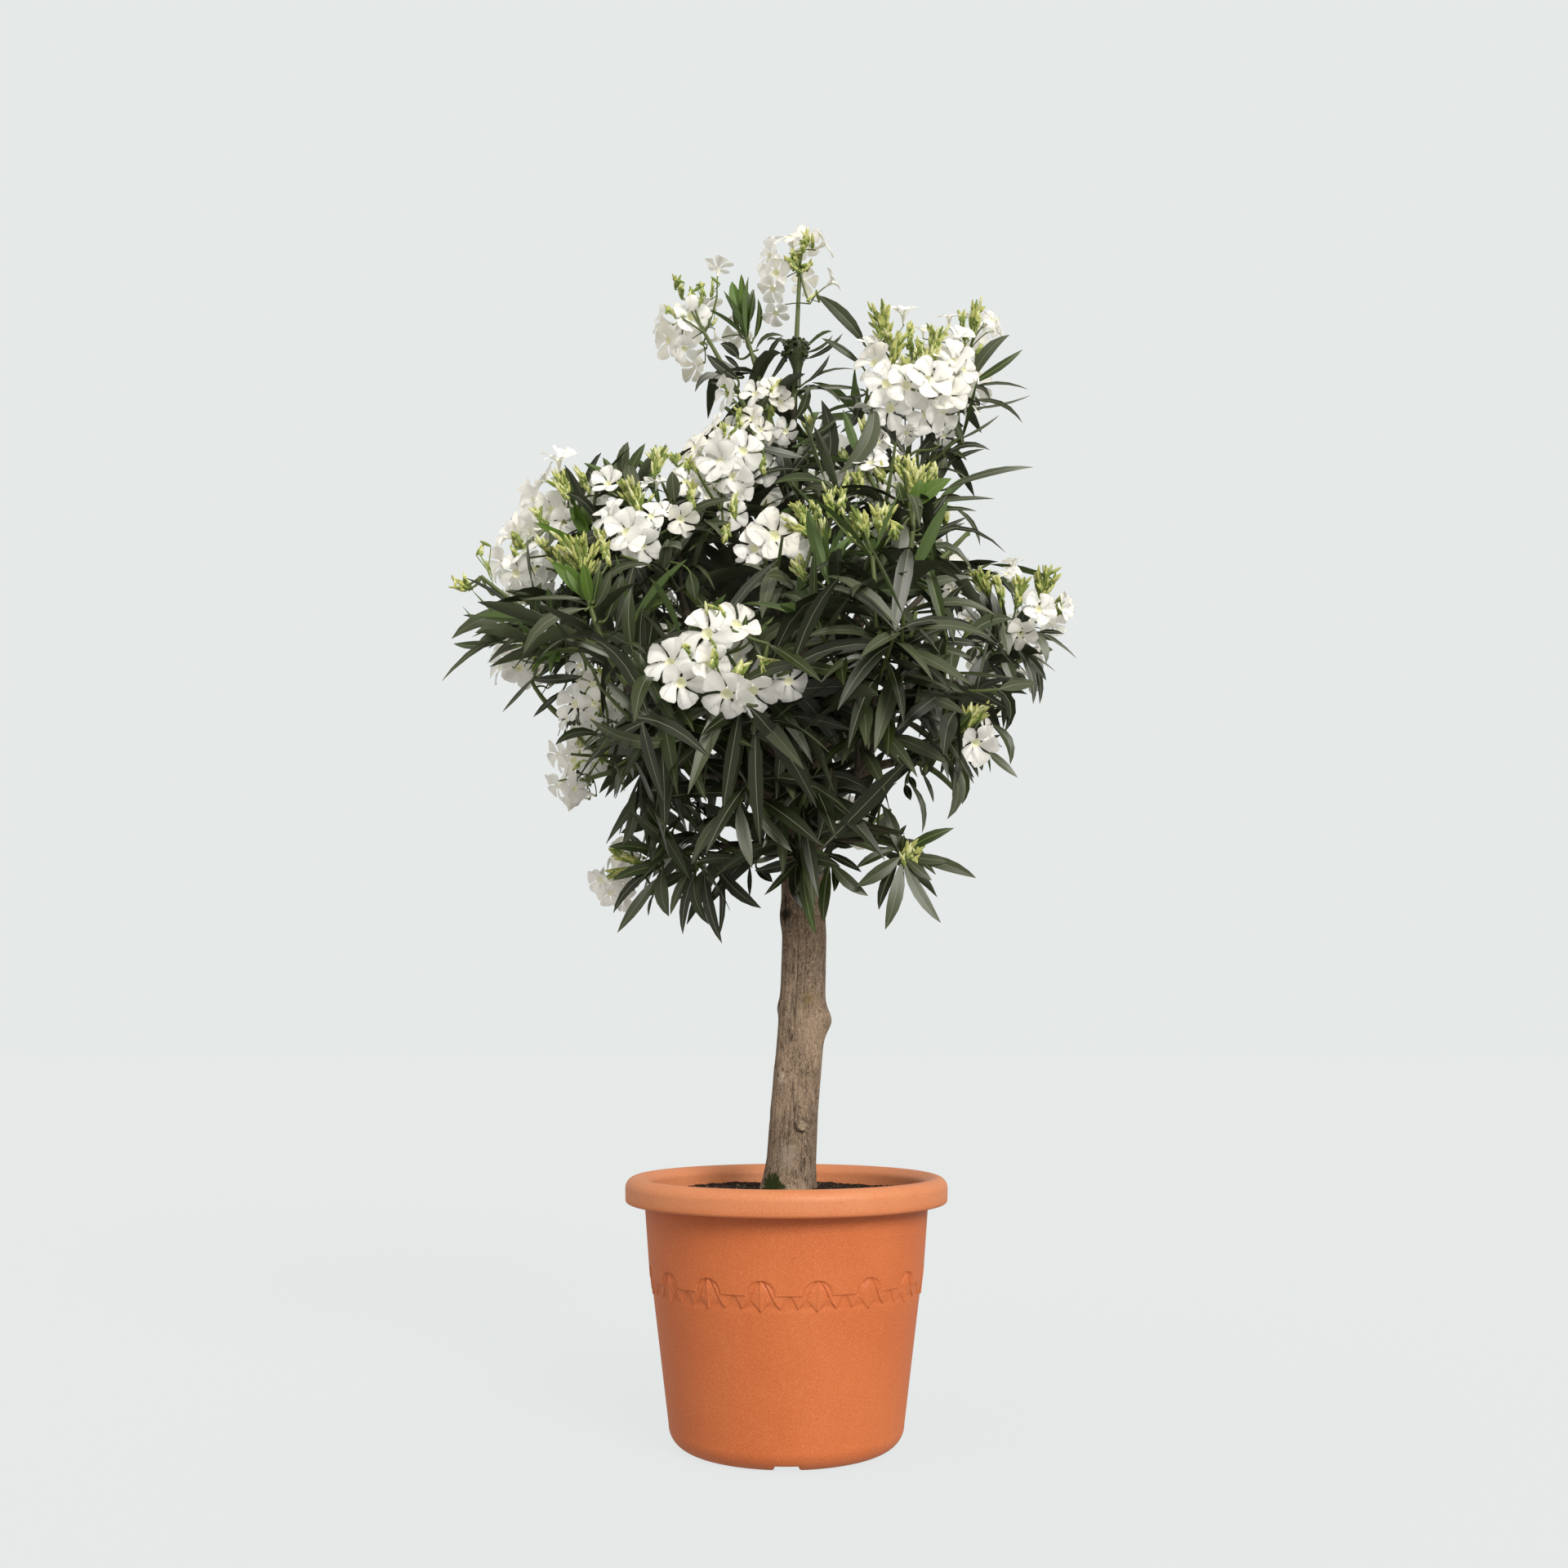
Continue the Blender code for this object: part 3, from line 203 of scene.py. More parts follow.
TRUNK_MASS_TURN = {"low_left": 188, "low_right": -38, "low_front": -104, "low_back_right": 55, "low_back_left": 125}
SEED = 41
GOLDEN_TURN = 2.39996
STEM_LENGTH = 0.022
SHOOT_RADII = (0.0042, 0.0044, 0.0038, 0.0026)
SIDE_RADII = (0.0030, 0.0018)
SIDE_SHOOTS = 2
SIDE_LENGTH = 0.090
LEAF_LENGTH = 0.138
LEAF_HALF = 0.0102
LEAF_ALONG = np.array([0.0, 0.055, 0.17, 0.34, 0.52, 0.70, 0.87, 1.0])
LEAF_WIDE = np.array([0.13, 0.15, 0.56, 0.90, 1.0, 0.84, 0.46, 0.03])
RIB_HALF = 0.00070
WHORL = 3
WHORL_SPACING = 0.024
BARE_SHARE = 0.16
LEAFY_SHARE = {"spire": 0.62, "stalk": 0.45}
SPARSE = {
    "top": 2.2, "top_right": 1.5, "back_top": 1.3, "centre_left": 1.2, "low_left": 1.15, "low_right": 1.15,
    "low_front": 1.1, "low_back_left": 1.25, "low_back_right": 1.25, "right_out": 1.2,
}
LOW_TIP = 0.94  # shoots that end lower than this end in a wide dark star of leaves
# Heads of size one: cyme branches, flowers on each outer branch, buds on each branch, widest lean.
HEADS = {
    "bloom": (9, 2, 6, 96), "spire": (4, 0, 6, 34), "buds": (9, 0, 7, 50), "stalk": (2, 0, 4, 30),
    "stub": (3, 0, 4, 40), "leaf": (0, 0, 0, 0),
}
TUFT = {"buds": 4, "leaf": 6, "stub": 5}  # small bright leaves round a shoot's end
PETALS = 5
PETAL_ALONG = np.array([0.0, 0.20, 0.42, 0.66, 0.87, 1.0])
PETAL_WIDE = np.array([0.0026, 0.0053, 0.0090, 0.0119, 0.0112, 0.0046])
PETAL_FOOT = 0.0056  # how far from the flower's middle a petal starts
PETAL_PAINTED_GLOW = 0.06  # a painted glow: the petals' constant emission, which lifts their shade like light through them from behind, as a share of full white
FLOWER_RADIUS = 0.0262
BUD_LENGTH = 0.0185
UP = np.array([0.0, 0.0, 1.0])

# ---------------------------------------------------------------- camera, light and what is seen from the front
EYE_HEIGHT = 0.484
EYE_DISTANCE = 2.0
EYE_ACROSS = -0.003
EYE_TILT = math.radians(9.32)
FRAME_MIDDLE = 960.0
FRAME_REACH = 1909.3  # how far off the frame stands, in frame units
FRAME_UNIT = 0.00105  # metres for one frame unit at the trunk
SENSOR, LENS = 36.0, 35.8
FLOOR_REACH = 40
BACKDROP = (0.784, 0.813, 0.806)
WARM_WHITE = (0.850, 0.815, 0.755)
LAMP_COLOUR = (1.0, 0.970, 0.91)
SHADOW_SHARE = 0.07
BOUNCE = 0.48
SKY = 0.72
SUNS = (("key_light", 2.4, 26.0, (-0.52, 0.92, -0.62)), ("fill_light", 0.40, 60.0, (0.45, 0.40, -0.95)))

CROWN_LOW = np.array([-0.452, -0.385, 0.603])
CROWN_HIGH = np.array([0.382, 0.385, 1.600])
# The crown's outline: height, its left and right edge.
CROWN_OUTLINE = np.array((
    (600, -110, 70), (640, -240, 190), (700, -265, 255), (760, -222, 240), (800, -315, 250), (860, -300, 290),
    (900, -300, 300), (940, -350, 330), (1000, -450, 378), (1050, -430, 382), (1100, -458, 360),
    (1125, -415, 262), (1200, -360, 255), (1262, -335, 258), (1280, -150, 262), (1300, -108, 268),
    (1375, -108, 285), (1400, -180, 290), (1450, -195, 285), (1505, -165, 270), (1530, -125, 105),
    (1560, -90, 85), (1605, -65, 75),
)) / 1000
# The lowest leaf tips: place across, height.
CROWN_FLOOR = np.array((
    (-320, 860), (-255, 655), (-217, 622), (-171, 662), (-127, 626), (-100, 640), (-83, 606), (-60, 676),
    (-33, 652), (-12, 700), (13, 668), (35, 622), (61, 712), (100, 669), (113, 684), (131, 624), (164, 662),
    (195, 632), (212, 708), (245, 690), (262, 800), (300, 860), (330, 905), (382, 960),
)) / 1000
# Where sky shows through: middle across, middle height, half width, half height.
SKY_GAPS = np.array((
    (292, 1262, 50, 30), (242, 1142, 44, 34), (182, 782, 26, 30), (-34, 690, 16, 30), (84, 690, 14, 34),
    (-245, 768, 30, 26), (-80, 1400, 20, 14), (70, 1370, 18, 20), (85, 1470, 35, 26), (-160, 1330, 50, 30),
    (215, 730, 20, 24), (-30, 1470, 12, 16), (60, 1290, 10, 18), (-12, 1205, 14, 10), (236, 985, 16, 24),
    (-66, 746, 12, 16), (145, 782, 12, 22), (204, 764, 28, 26), (-198, 745, 14, 18), (174, 1050, 21, 20),
    (182, 846, 8, 16), (-69, 742, 18, 22), (92, 721, 18, 18), (-345, 930, 60, 26), (158, 872, 10, 20),
    (231, 776, 20, 30), (48, 1336, 20, 14),
)) / 1000
# The tables below give places in frame units: 1/1920 of the camera's frame from its left and top edge,
# and a depth in millimetres behind the trunk's middle. framed() turns them into places in the room.
# Leaves told one by one: foot across and down, tip across and down, depth, half width, bow to the
# right-hand side in percent of the length, tone (0 dark, 1 mid, 2 grey, 3 young, 4 bright).
LEAF_UNITS = (1, 1, 1, 1, 1000, 1, 100, 1)
LEAVES_AT = {
    "top": (
        (1006, 600, 1006, 490, -30, 11, 10, 0), (1024, 590, 1008, 512, -30, 9, -6, 0),
        (908, 402, 888, 362, 0, 3, 5, 1), (910, 402, 907, 363, -10, 5, 0, 4), (914, 402, 922, 354, 0, 6, 2, 3),
        (922, 418, 928, 366, 10, 4, 10, 3), (903, 395, 906, 372, 0, 3, 5, 4),
        (905, 408, 897, 378, 10, 3, 0, 3), (905, 466, 865, 434, 0, 7, -4, 0),
        (912, 462, 877, 438, 10, 5, -5, 0), (906, 452, 887, 435, 10, 4, 0, 0),
        (895, 470, 851, 480, -20, 5, 34, 0), (905, 478, 866, 468, -10, 3, 5, 0),
        (905, 440, 882, 421, 0, 7, 12, 0), (940, 440, 958, 412, 20, 4, -6, 0),
        (940, 470, 975, 410, 20, 4, 5, 0), (925, 430, 960, 412, 30, 3, -25, 2),
        (985, 440, 1032, 408, 20, 3, 12, 0), (985, 432, 1020, 410, 40, 2, 15, 2),
        (985, 470, 1016, 434, 20, 3, 10, 0), (975, 480, 1046, 452, 30, 2, -12, 2),
        (972, 516, 990, 470, -20, 6, 10, 1), (955, 560, 940, 540, 0, 8, 0, 1),
        (965, 605, 955, 540, -20, 11, 0, 0), (975, 605, 983, 540, -20, 10, 3, 1),
        (960, 595, 1030, 520, -30, 5, -5, 0), (985, 540, 1026, 512, -40, 4, 5, 1),
        (978, 575, 912, 597, -40, 5, 12, 0), (990, 602, 1030, 602, -40, 3, 0, 2),
        (985, 600, 955, 617, -40, 3, 10, 0), (985, 545, 1025, 545, -30, 4, 0, 1),
        (935, 570, 919, 590, -50, 5, 20, 1), (985, 560, 925, 545, -50, 6, -5, 0),
        (930, 500, 945, 470, -20, 7, 5, 2),
    ),
    "top_right": (
        (1060, 424, 999, 361, -20, 9, 5, 1), (1056, 448, 1006, 414, -30, 5, 2, 1),
        (1190, 468, 1236, 410, -20, 9, -10, 2), (1186, 472, 1252, 428, -30, 5, 4, 3),
        (1058, 477, 974, 478, -30, 3, 2, 2), (1062, 482, 1024, 486, -20, 3, -10, 0),
        (1068, 492, 1027, 580, -80, 12, -16, 2), (1045, 482, 1029, 530, -30, 6, -22, 0),
        (1110, 560, 1060, 505, -60, 10, 6, 0), (1090, 560, 1085, 505, -60, 11, 0, 0),
        (1178, 480, 1259, 477, -20, 2, -10, 2), (1180, 500, 1262, 484, -10, 2, 8, 2),
        (1185, 492, 1252, 518, -20, 3, -16, 2), (1180, 478, 1212, 490, -30, 3, -30, 0),
        (1170, 540, 1224, 508, -20, 2, 6, 2), (1165, 505, 1205, 500, -20, 4, 2, 0),
        (1160, 520, 1180, 522, -30, 5, 0, 2), (1155, 560, 1212, 551, -30, 4, -18, 0),
        (1150, 575, 1205, 550, -30, 4, -5, 0), (1150, 505, 1180, 545, -50, 5, -10, 2),
        (1180, 490, 1200, 497, -40, 6, -10, 0), (1150, 545, 1128, 500, -60, 8, 3, 0),
        (1155, 600, 1265, 572, -40, 5, -4, 2), (1155, 575, 1185, 588, -30, 2, -10, 2),
        (1140, 595, 1158, 560, -50, 8, 5, 2), (1120, 560, 1150, 520, -50, 7, 6, 0),
    ),
    "right_upper": (
        (1112, 628, 1165, 586, -120, 12, -6, 4), (1114, 626, 1128, 586, -120, 9, 5, 4),
        (1110, 625, 1100, 590, -110, 7, -5, 3), (1108, 640, 1098, 690, -140, 12, 3, 2),
        (1135, 618, 1218, 611, -80, 3, -3, 2), (1130, 630, 1196, 626, -80, 3, -6, 1),
        (1130, 655, 1186, 632, -90, 3, 4, 0), (1110, 690, 1232, 677, -90, 3, -30, 0),
        (1165, 620, 1200, 668, -50, 3, -12, 2), (1120, 680, 1182, 640, -90, 4, -5, 0),
        (1150, 610, 1177, 608, -60, 4, 0, 0), (1125, 650, 1160, 605, -80, 4, 4, 0),
        (1118, 668, 1175, 645, -100, 4, -4, 1), (1090, 620, 1030, 640, -120, 6, -20, 1),
        (1105, 635, 1060, 600, -100, 6, -20, 1), (1108, 640, 1075, 600, -100, 6, -30, 2),
    ),
    "left_upper": (
        (762, 588, 769, 541, -20, 8, -6, 2), (763, 600, 790, 543, -30, 8, -2, 3),
        (745, 602, 720, 577, -40, 6, 5, 0), (754, 588, 738, 570, -20, 3, 0, 0),
        (785, 590, 816, 543, -20, 4, 4, 2), (826, 615, 823, 577, -80, 9, 0, 2),
        (812, 700, 818, 660, -140, 8, 0, 2), (845, 700, 852, 735, -150, 9, 0, 1),
        (830, 640, 900, 612, -80, 5, -10, 2), (835, 655, 895, 640, -100, 6, -5, 1),
    ),
    "left_top": (
        (722, 662, 697, 620, -60, 8, 3, 4), (724, 662, 712, 618, -50, 7, 0, 4),
        (726, 660, 734, 625, -50, 5, 5, 3), (690, 640, 730, 645, 0, 3, -20, 2),
    ),
    "front_left": (
        (722, 738, 675, 689, -200, 10, 6, 4), (722, 738, 692, 690, -200, 9, 0, 4),
        (724, 738, 714, 690, -210, 8, 0, 4), (726, 738, 734, 695, -200, 7, 3, 3),
        (728, 745, 748, 700, -200, 7, 5, 2), (720, 745, 640, 806, -210, 9, 16, 2),
        (722, 735, 640, 735, -200, 3, 3, 2), (730, 735, 800, 692, -200, 5, -22, 2),
        (742, 760, 762, 700, -190, 8, 3, 1), (775, 800, 773, 720, -220, 9, -5, 1),
        (790, 830, 788, 740, -210, 9, -5, 0), (760, 812, 690, 782, -220, 5, 5, 1),
        (830, 890, 740, 830, -240, 9, -10, 1), (838, 905, 722, 880, -250, 9, -14, 2),
        (836, 898, 783, 800, -240, 9, -4, 3), (800, 850, 745, 790, -230, 7, 5, 3),
    ),
    "left": (
        (655, 757, 553, 782, -30, 10, 13, 2), (665, 762, 541, 834, -20, 4, 8, 2),
        (655, 765, 597, 812, -20, 4, 2, 1), (655, 762, 578, 780, -10, 3, 5, 3),
        (652, 716, 646, 660, -40, 2, -2, 0), (655, 762, 663, 713, -20, 8, -5, 3),
        (640, 800, 650, 770, -10, 5, 5, 0), (715, 828, 650, 832, -60, 8, -5, 0),
        (655, 828, 615, 872, -40, 3, -2, 2), (690, 845, 653, 878, -40, 4, 0, 0),
        (640, 810, 700, 800, -50, 3, 10, 2), (700, 800, 660, 830, -50, 5, 5, 0),
        (675, 750, 670, 720, -40, 6, 5, 3), (720, 800, 690, 775, -60, 9, 0, 0),
        (735, 900, 680, 912, -70, 6, 16, 1), (715, 760, 650, 755, -60, 3, 5, 2),
    ),
    "right_out": (
        (1212, 792, 1201, 722, 0, 10, 3, 0), (1224, 790, 1214, 724, -10, 8, 3, 0),
        (1234, 782, 1224, 726, -10, 5, -3, 1), (1240, 782, 1256, 742, -20, 8, 5, 0),
        (1226, 790, 1171, 731, -10, 4, -2, 0), (1224, 792, 1168, 756, -10, 7, -2, 0),
        (1228, 762, 1235, 802, -30, 8, 0, 2), (1226, 792, 1245, 842, -10, 8, 3, 1),
        (1242, 790, 1265, 862, -10, 6, -10, 0), (1246, 796, 1281, 833, -10, 6, -4, 0),
        (1262, 805, 1273, 862, 0, 4, -8, 0), (1240, 794, 1292, 822, 0, 2, -4, 1),
        (1262, 770, 1281, 812, -20, 6, -12, 2), (1266, 772, 1318, 806, 0, 2, -4, 2),
        (1270, 774, 1302, 776, 0, 3, -4, 0), (1262, 774, 1302, 790, 10, 3, -4, 2),
        (1212, 798, 1184, 866, -20, 12, 4, 0), (1205, 836, 1230, 897, -10, 7, -28, 0),
        (1212, 812, 1243, 842, 0, 6, 0, 0), (1195, 792, 1188, 812, -10, 7, 10, 0),
    ),
    "right_front": (
        (1112, 752, 1220, 754, -170, 7, -14, 2), (1075, 760, 1192, 706, -180, 8, -10, 2),
        (1110, 690, 1192, 702, -160, 6, -34, 1), (1120, 722, 1168, 786, -170, 8, -14, 2),
        (1115, 765, 1162, 820, -170, 9, -8, 2), (1130, 790, 1205, 792, -170, 6, -6, 0),
        (1100, 800, 1190, 806, -180, 8, -8, 2), (1090, 830, 1180, 848, -190, 9, -6, 2),
        (1150, 815, 1180, 845, -150, 4, -12, 0), (1160, 790, 1193, 815, -150, 2, 0, 2),
        (1080, 900, 1160, 935, -190, 9, -5, 2), (1085, 850, 1183, 875, -190, 9, -8, 2),
    ),
    "right_low": (
        (1152, 928, 1160, 1003, -100, 8, -22, 2), (1165, 930, 1178, 985, -90, 6, -16, 1),
        (1170, 912, 1198, 952, -80, 4, -8, 0), (1205, 915, 1246, 952, -60, 6, 2, 2),
        (1208, 884, 1237, 936, -60, 7, -18, 1), (1192, 925, 1202, 944, -70, 4, -10, 1),
        (1200, 910, 1225, 900, -50, 3, 0, 0), (1155, 905, 1190, 872, -100, 7, 5, 3),
        (1150, 905, 1133, 950, -110, 9, 5, 2), (1110, 955, 1129, 1020, -80, 4, -14, 1),
        (1128, 945, 1143, 983, -70, 3, -5, 1), (1112, 950, 1122, 965, -70, 4, 0, 0),
        (1108, 960, 1115, 980, -70, 5, 0, 0), (1150, 905, 1090, 940, -120, 6, 5, 1),
    ),
    "centre": (
        (912, 792, 948, 755, -270, 4, 2, 3), (908, 788, 914, 752, -270, 4, 2, 3),
        (925, 880, 923, 900, -260, 5, 0, 2),
    ),
    "low_left": (
        (812, 1046, 745, 1037, -60, 7, 6, 3), (812, 1060, 750, 1078, -60, 7, 5, 3),
        (808, 1062, 751, 1118, -60, 6, 10, 0), (808, 1072, 756, 1142, -70, 7, 0, 2),
        (812, 1062, 819, 1122, -70, 9, 9, 2), (850, 1060, 821, 1120, -80, 6, 5, 2),
        (855, 1062, 836, 1144, -80, 6, 7, 0), (852, 1062, 868, 1132, -80, 7, 12, 1),
        (862, 1064, 884, 1155, -90, 7, 5, 0), (880, 1062, 880, 1148, -80, 4, -6, 0),
        (876, 1058, 932, 1112, -90, 8, 7, 0), (918, 1060, 918, 1098, -60, 3, 0, 0),
        (852, 1056, 905, 1052, -90, 6, -5, 1), (850, 1040, 900, 1045, -70, 4, 8, 0),
        (800, 1010, 760, 1020, -60, 6, 4, 2), (825, 1015, 800, 1052, -70, 7, -5, 3),
        (770, 1020, 795, 1050, -50, 5, 0, 0), (845, 1045, 828, 1068, -80, 9, 0, 2),
        (800, 1095, 794, 1122, -50, 2, 5, 2), (775, 985, 762, 1035, -80, 7, -10, 2),
    ),
    "low_front": (
        (905, 982, 921, 1063, -220, 9, 3, 2), (903, 985, 847, 1058, -220, 8, 7, 2),
        (918, 985, 970, 1043, -220, 8, 2, 2), (978, 1052, 936, 1096, -120, 5, -3, 1),
        (978, 1050, 924, 1066, -120, 7, -6, 0), (978, 1050, 1029, 1061, -130, 7, -5, 1),
        (984, 1054, 999, 1144, -140, 7, 5, 3), (976, 1056, 984, 1113, -110, 9, 10, 0),
        (1012, 1060, 973, 1094, -120, 7, 4, 2), (1016, 1060, 1009, 1130, -100, 8, 4, 1),
        (1018, 1058, 1021, 1092, -90, 5, -10, 1), (1018, 1056, 1063, 1097, -100, 8, 7, 2),
        (976, 1046, 936, 1048, -120, 5, 5, 0), (970, 1040, 926, 1028, -100, 6, 0, 0),
        (1010, 1045, 1055, 1068, -80, 5, -5, 0), (925, 1062, 946, 1080, -80, 6, 0, 0),
        (985, 1035, 1010, 1020, -120, 5, 5, 0), (1015, 1030, 1045, 1037, -70, 4, 5, 0),
    ),
    "low_right": (
        (1104, 1045, 1168, 1014, -90, 7, -4, 3), (1110, 1047, 1164, 1053, -100, 7, 5, 2),
        (1112, 1050, 1195, 1075, -100, 8, -5, 2), (1108, 1050, 1141, 1078, -110, 6, 3, 2),
        (1106, 1052, 1152, 1130, -110, 8, 6, 2), (1104, 1054, 1084, 1138, -110, 9, -3, 2),
        (1100, 1054, 1076, 1114, -100, 7, 6, 0), (1104, 1048, 1048, 1086, -110, 9, -2, 2),
        (1095, 1040, 1048, 1063, -90, 6, 4, 1), (1098, 1030, 1110, 1010, -70, 3, -5, 1),
        (1106, 1044, 1107, 1022, -90, 4, -5, 1), (1080, 985, 1100, 1042, -80, 8, -5, 2),
    ),
}
# Flowers told one by one: across, down, depth, the way each faces in tenths, radius.
FLOWER_UNITS = (1, 1, 1000, 10, 10, 10, 1)
FLOWERS_AT = {
    "top": (
        (966, 290, 10, -3, -6, 6, 25), (942, 314, -10, -8, -5, 1, 24), (950, 334, 10, -3, -7, -4, 22),
        (946, 354, 0, -3, -5, -8, 20), (950, 384, 0, 1, -5, -8, 18), (1010, 298, 0, 9, -3, 1, 20),
        (1019, 345, 0, 9, -2, 4, 17), (985, 296, 30, 2, 8, 5, 22), (985, 345, 30, 5, 7, 1, 20),
        (880, 328, 0, 1, -2, 10, 19), (810, 392, 0, -9, -2, 1, 21), (846, 388, 0, 0, -9, -2, 25),
        (818, 417, 0, -6, -7, -2, 25), (838, 427, -10, 1, -7, -7, 18), (877, 414, 10, 2, 2, -9, 15),
        (845, 400, 40, -2, 9, 1, 22),
    ),
    "centre_left": (
        (924, 482, -60, -3, -9, 3, 19), (945, 478, -60, 1, -8, 5, 18), (956, 492, -60, 5, -8, 1, 17),
        (920, 512, -65, -3, -9, 2, 19), (932, 526, -65, 2, -9, -1, 16), (890, 482, -50, -6, -7, 1, 22),
        (962, 528, -50, 4, -6, -5, 18), (882, 542, -70, -6, -7, 3, 24), (910, 552, -85, 2, -9.5, 1, 26),
        (882, 566, -85, -4, -9, -1, 27), (898, 584, -80, 0, -9, -4, 24), (906, 596, -70, 3, -7, -6, 19),
        (850, 548, -50, -4, -6, 6, 22), (936, 576, -50, 5, -8, -1, 20), (845, 562, -40, -5, -6, 4, 18),
        (872, 520, -50, -6, -5, 5, 18),
    ),
    "left_upper": (
        (744, 592, -100, -3, -7, 5, 20), (744, 635, -130, -5, -8, 1, 27), (768, 652, -145, 1, -10, -1, 27),
        (786, 668, -140, 2, -9, -4, 24), (797, 632, -140, 1, -9, 3, 18), (834, 636, -130, 6, -7, -1, 21),
        (813, 626, -130, 0, -9, 4, 14), (788, 592, -80, 0, -6, 8, 13), (805, 590, -80, 3, -6, 7, 15),
        (840, 590, -70, 3, -8, 3, 20), (866, 608, -70, 4, -8, 2, 16), (898, 630, -70, 3, -8, -2, 20),
    ),
    "left_top": (
        (684, 562, 20, -1, -5, 8, 23), (668, 586, 20, -7, -5, 3, 23), (652, 612, 20, -8, -5, 1, 25),
        (675, 625, 20, -3, -8, -2, 27), (692, 588, 40, 2, -3, 9, 20), (634, 650, 10, -8, -5, 1, 22),
        (690, 640, 10, 2, -9, -1, 20), (650, 650, 0, -4, -8, -2, 22),
    ),
    "left": (
        (614, 690, 0, -8, -5, 1, 24), (632, 702, -10, -4, -9, -2, 25), (655, 698, 0, 3, -9, -1, 24),
        (622, 656, 10, -8, -4, 4, 19), (664, 712, 0, 4, -7, -4, 19), (642, 675, -10, -2, -9, 3, 24),
    ),
    "left_far": (
        (612, 816, 60, -7, -6, -1, 23), (636, 818, 60, 0, -9.5, -2, 24), (640, 786, 70, -4, -8, 2, 20),
        (622, 770, 80, -6, -5, 3, 17), (654, 780, 80, 3, -8, 2, 18), (625, 800, 100, -4, 9, 0, 22),
    ),
    "left_low": (
        (710, 815, -50, -3, -9, 2, 19), (726, 838, -60, 2, -8, -4, 18), (704, 862, -60, -6, -7.5, -1, 23),
        (728, 862, -65, 1, -9, -2, 20), (754, 864, -70, 6, -7, 1, 20), (726, 882, -65, 0, -8, -5, 17),
        (694, 880, -50, -6, -6, -4, 16), (684, 926, -40, -7, -6, 0, 21), (703, 932, -45, 0, -9, -3, 21),
        (728, 936, -50, 4, -8, -2, 17), (682, 962, -30, -7, -5, -4, 19), (704, 966, -35, 3, -7, -5, 18),
        (712, 905, -50, -2, -9, 2, 18),
    ),
    "low_left": (
        (736, 1078, -50, -7, -6, -3, 17), (748, 1094, -50, -2, -6, -7, 17), (766, 1086, -50, 3, -8, -4, 16),
    ),
    "centre": (
        (820, 812, -285, -4, -9, 1, 27), (834, 836, -290, 1, -8.5, -5, 26), (866, 776, -290, -2, -9.5, 1, 30),
        (902, 764, -280, 2, -8.5, 4, 27), (868, 812, -290, 0, -9, -3, 22),
        (890, 850, -300, -1, -7.5, -6.5, 29), (922, 846, -290, 2, -8, -5, 26),
        (966, 834, -280, 4, -7.5, -5, 24), (845, 806, -280, -3, -5, 8, 10),
    ),
    "centre_front": (
        (948, 656, -140, 1, -9.7, 1, 32), (924, 672, -140, -5, -8, -1, 23), (924, 648, -130, -4, -7, 5, 13),
        (974, 668, -130, 5, -7, -3, 17),
    ),
    "right_upper": (
        (1066, 566, -90, 0, -9.5, 2, 24), (1076, 540, -80, 2, -8, 4, 15), (1097, 594, -100, -3, -8, -1, 16),
    ),
    "top_right": (
        (1070, 444, -70, -5, -8, 2, 27), (1086, 470, -85, -2, -9.5, 0, 28), (1110, 472, -100, 0, -10, 0, 26),
        (1090, 500, -85, -1, -9, -4, 27), (1138, 466, -100, 1, -10, 1, 30), (1166, 442, -70, 3, -8.5, 3, 28),
        (1180, 452, -60, 7, -6, 1, 24), (1160, 482, -85, 4, -9, -1, 27), (1134, 508, -80, -1, -8, -6, 24),
        (1153, 506, -80, 3, -8, -5, 24), (1172, 412, -40, 3, -6, 6, 22), (1072, 422, -50, -4, -6, 6, 21),
        (1106, 384, 0, 1, -5, 8, 19), (1130, 402, 10, 1, -5, 8, 17), (1162, 388, 0, -3, -6, 7, 17),
        (1110, 530, -70, -1, -6, -8, 16), (1156, 534, -60, 4, -6, -6, 15), (1215, 392, 30, 7, -5, 4, 20),
        (1220, 404, 40, 8, -3, 0, 17), (1194, 388, 60, 0, -3, 9, 15), (1140, 440, 20, 1, 9.5, 1, 27),
        (1170, 460, 20, 5, 8, -1, 26), (1110, 450, 10, -4, 8.5, 0, 26), (1205, 400, 100, 2, 9, 1, 22),
    ),
    "right_out": (
        (1272, 746, -30, 2, -9.5, -1, 22), (1250, 776, -30, 0, -7, -7, 22), (1233, 702, 10, -2, -5, 8, 18),
        (1300, 744, 0, 8, -5, 0, 18), (1308, 736, 20, 9, -2, 3, 15), (1240, 690, 20, 1, -4, 9, 15),
        (1166, 722, 20, -6, -5, 2, 17), (1186, 758, 10, -3, -8, -2, 14), (1270, 740, 60, 3, 9, 1, 24),
        (1245, 760, 70, 0, 9, -2, 24), (1290, 765, 50, 6, 7, -2, 20),
    ),
    "right_low": (
        (1195, 910, -100, 1, -9, -3, 25), (1205, 896, -90, 5, -7, 2, 17),
    ),
}
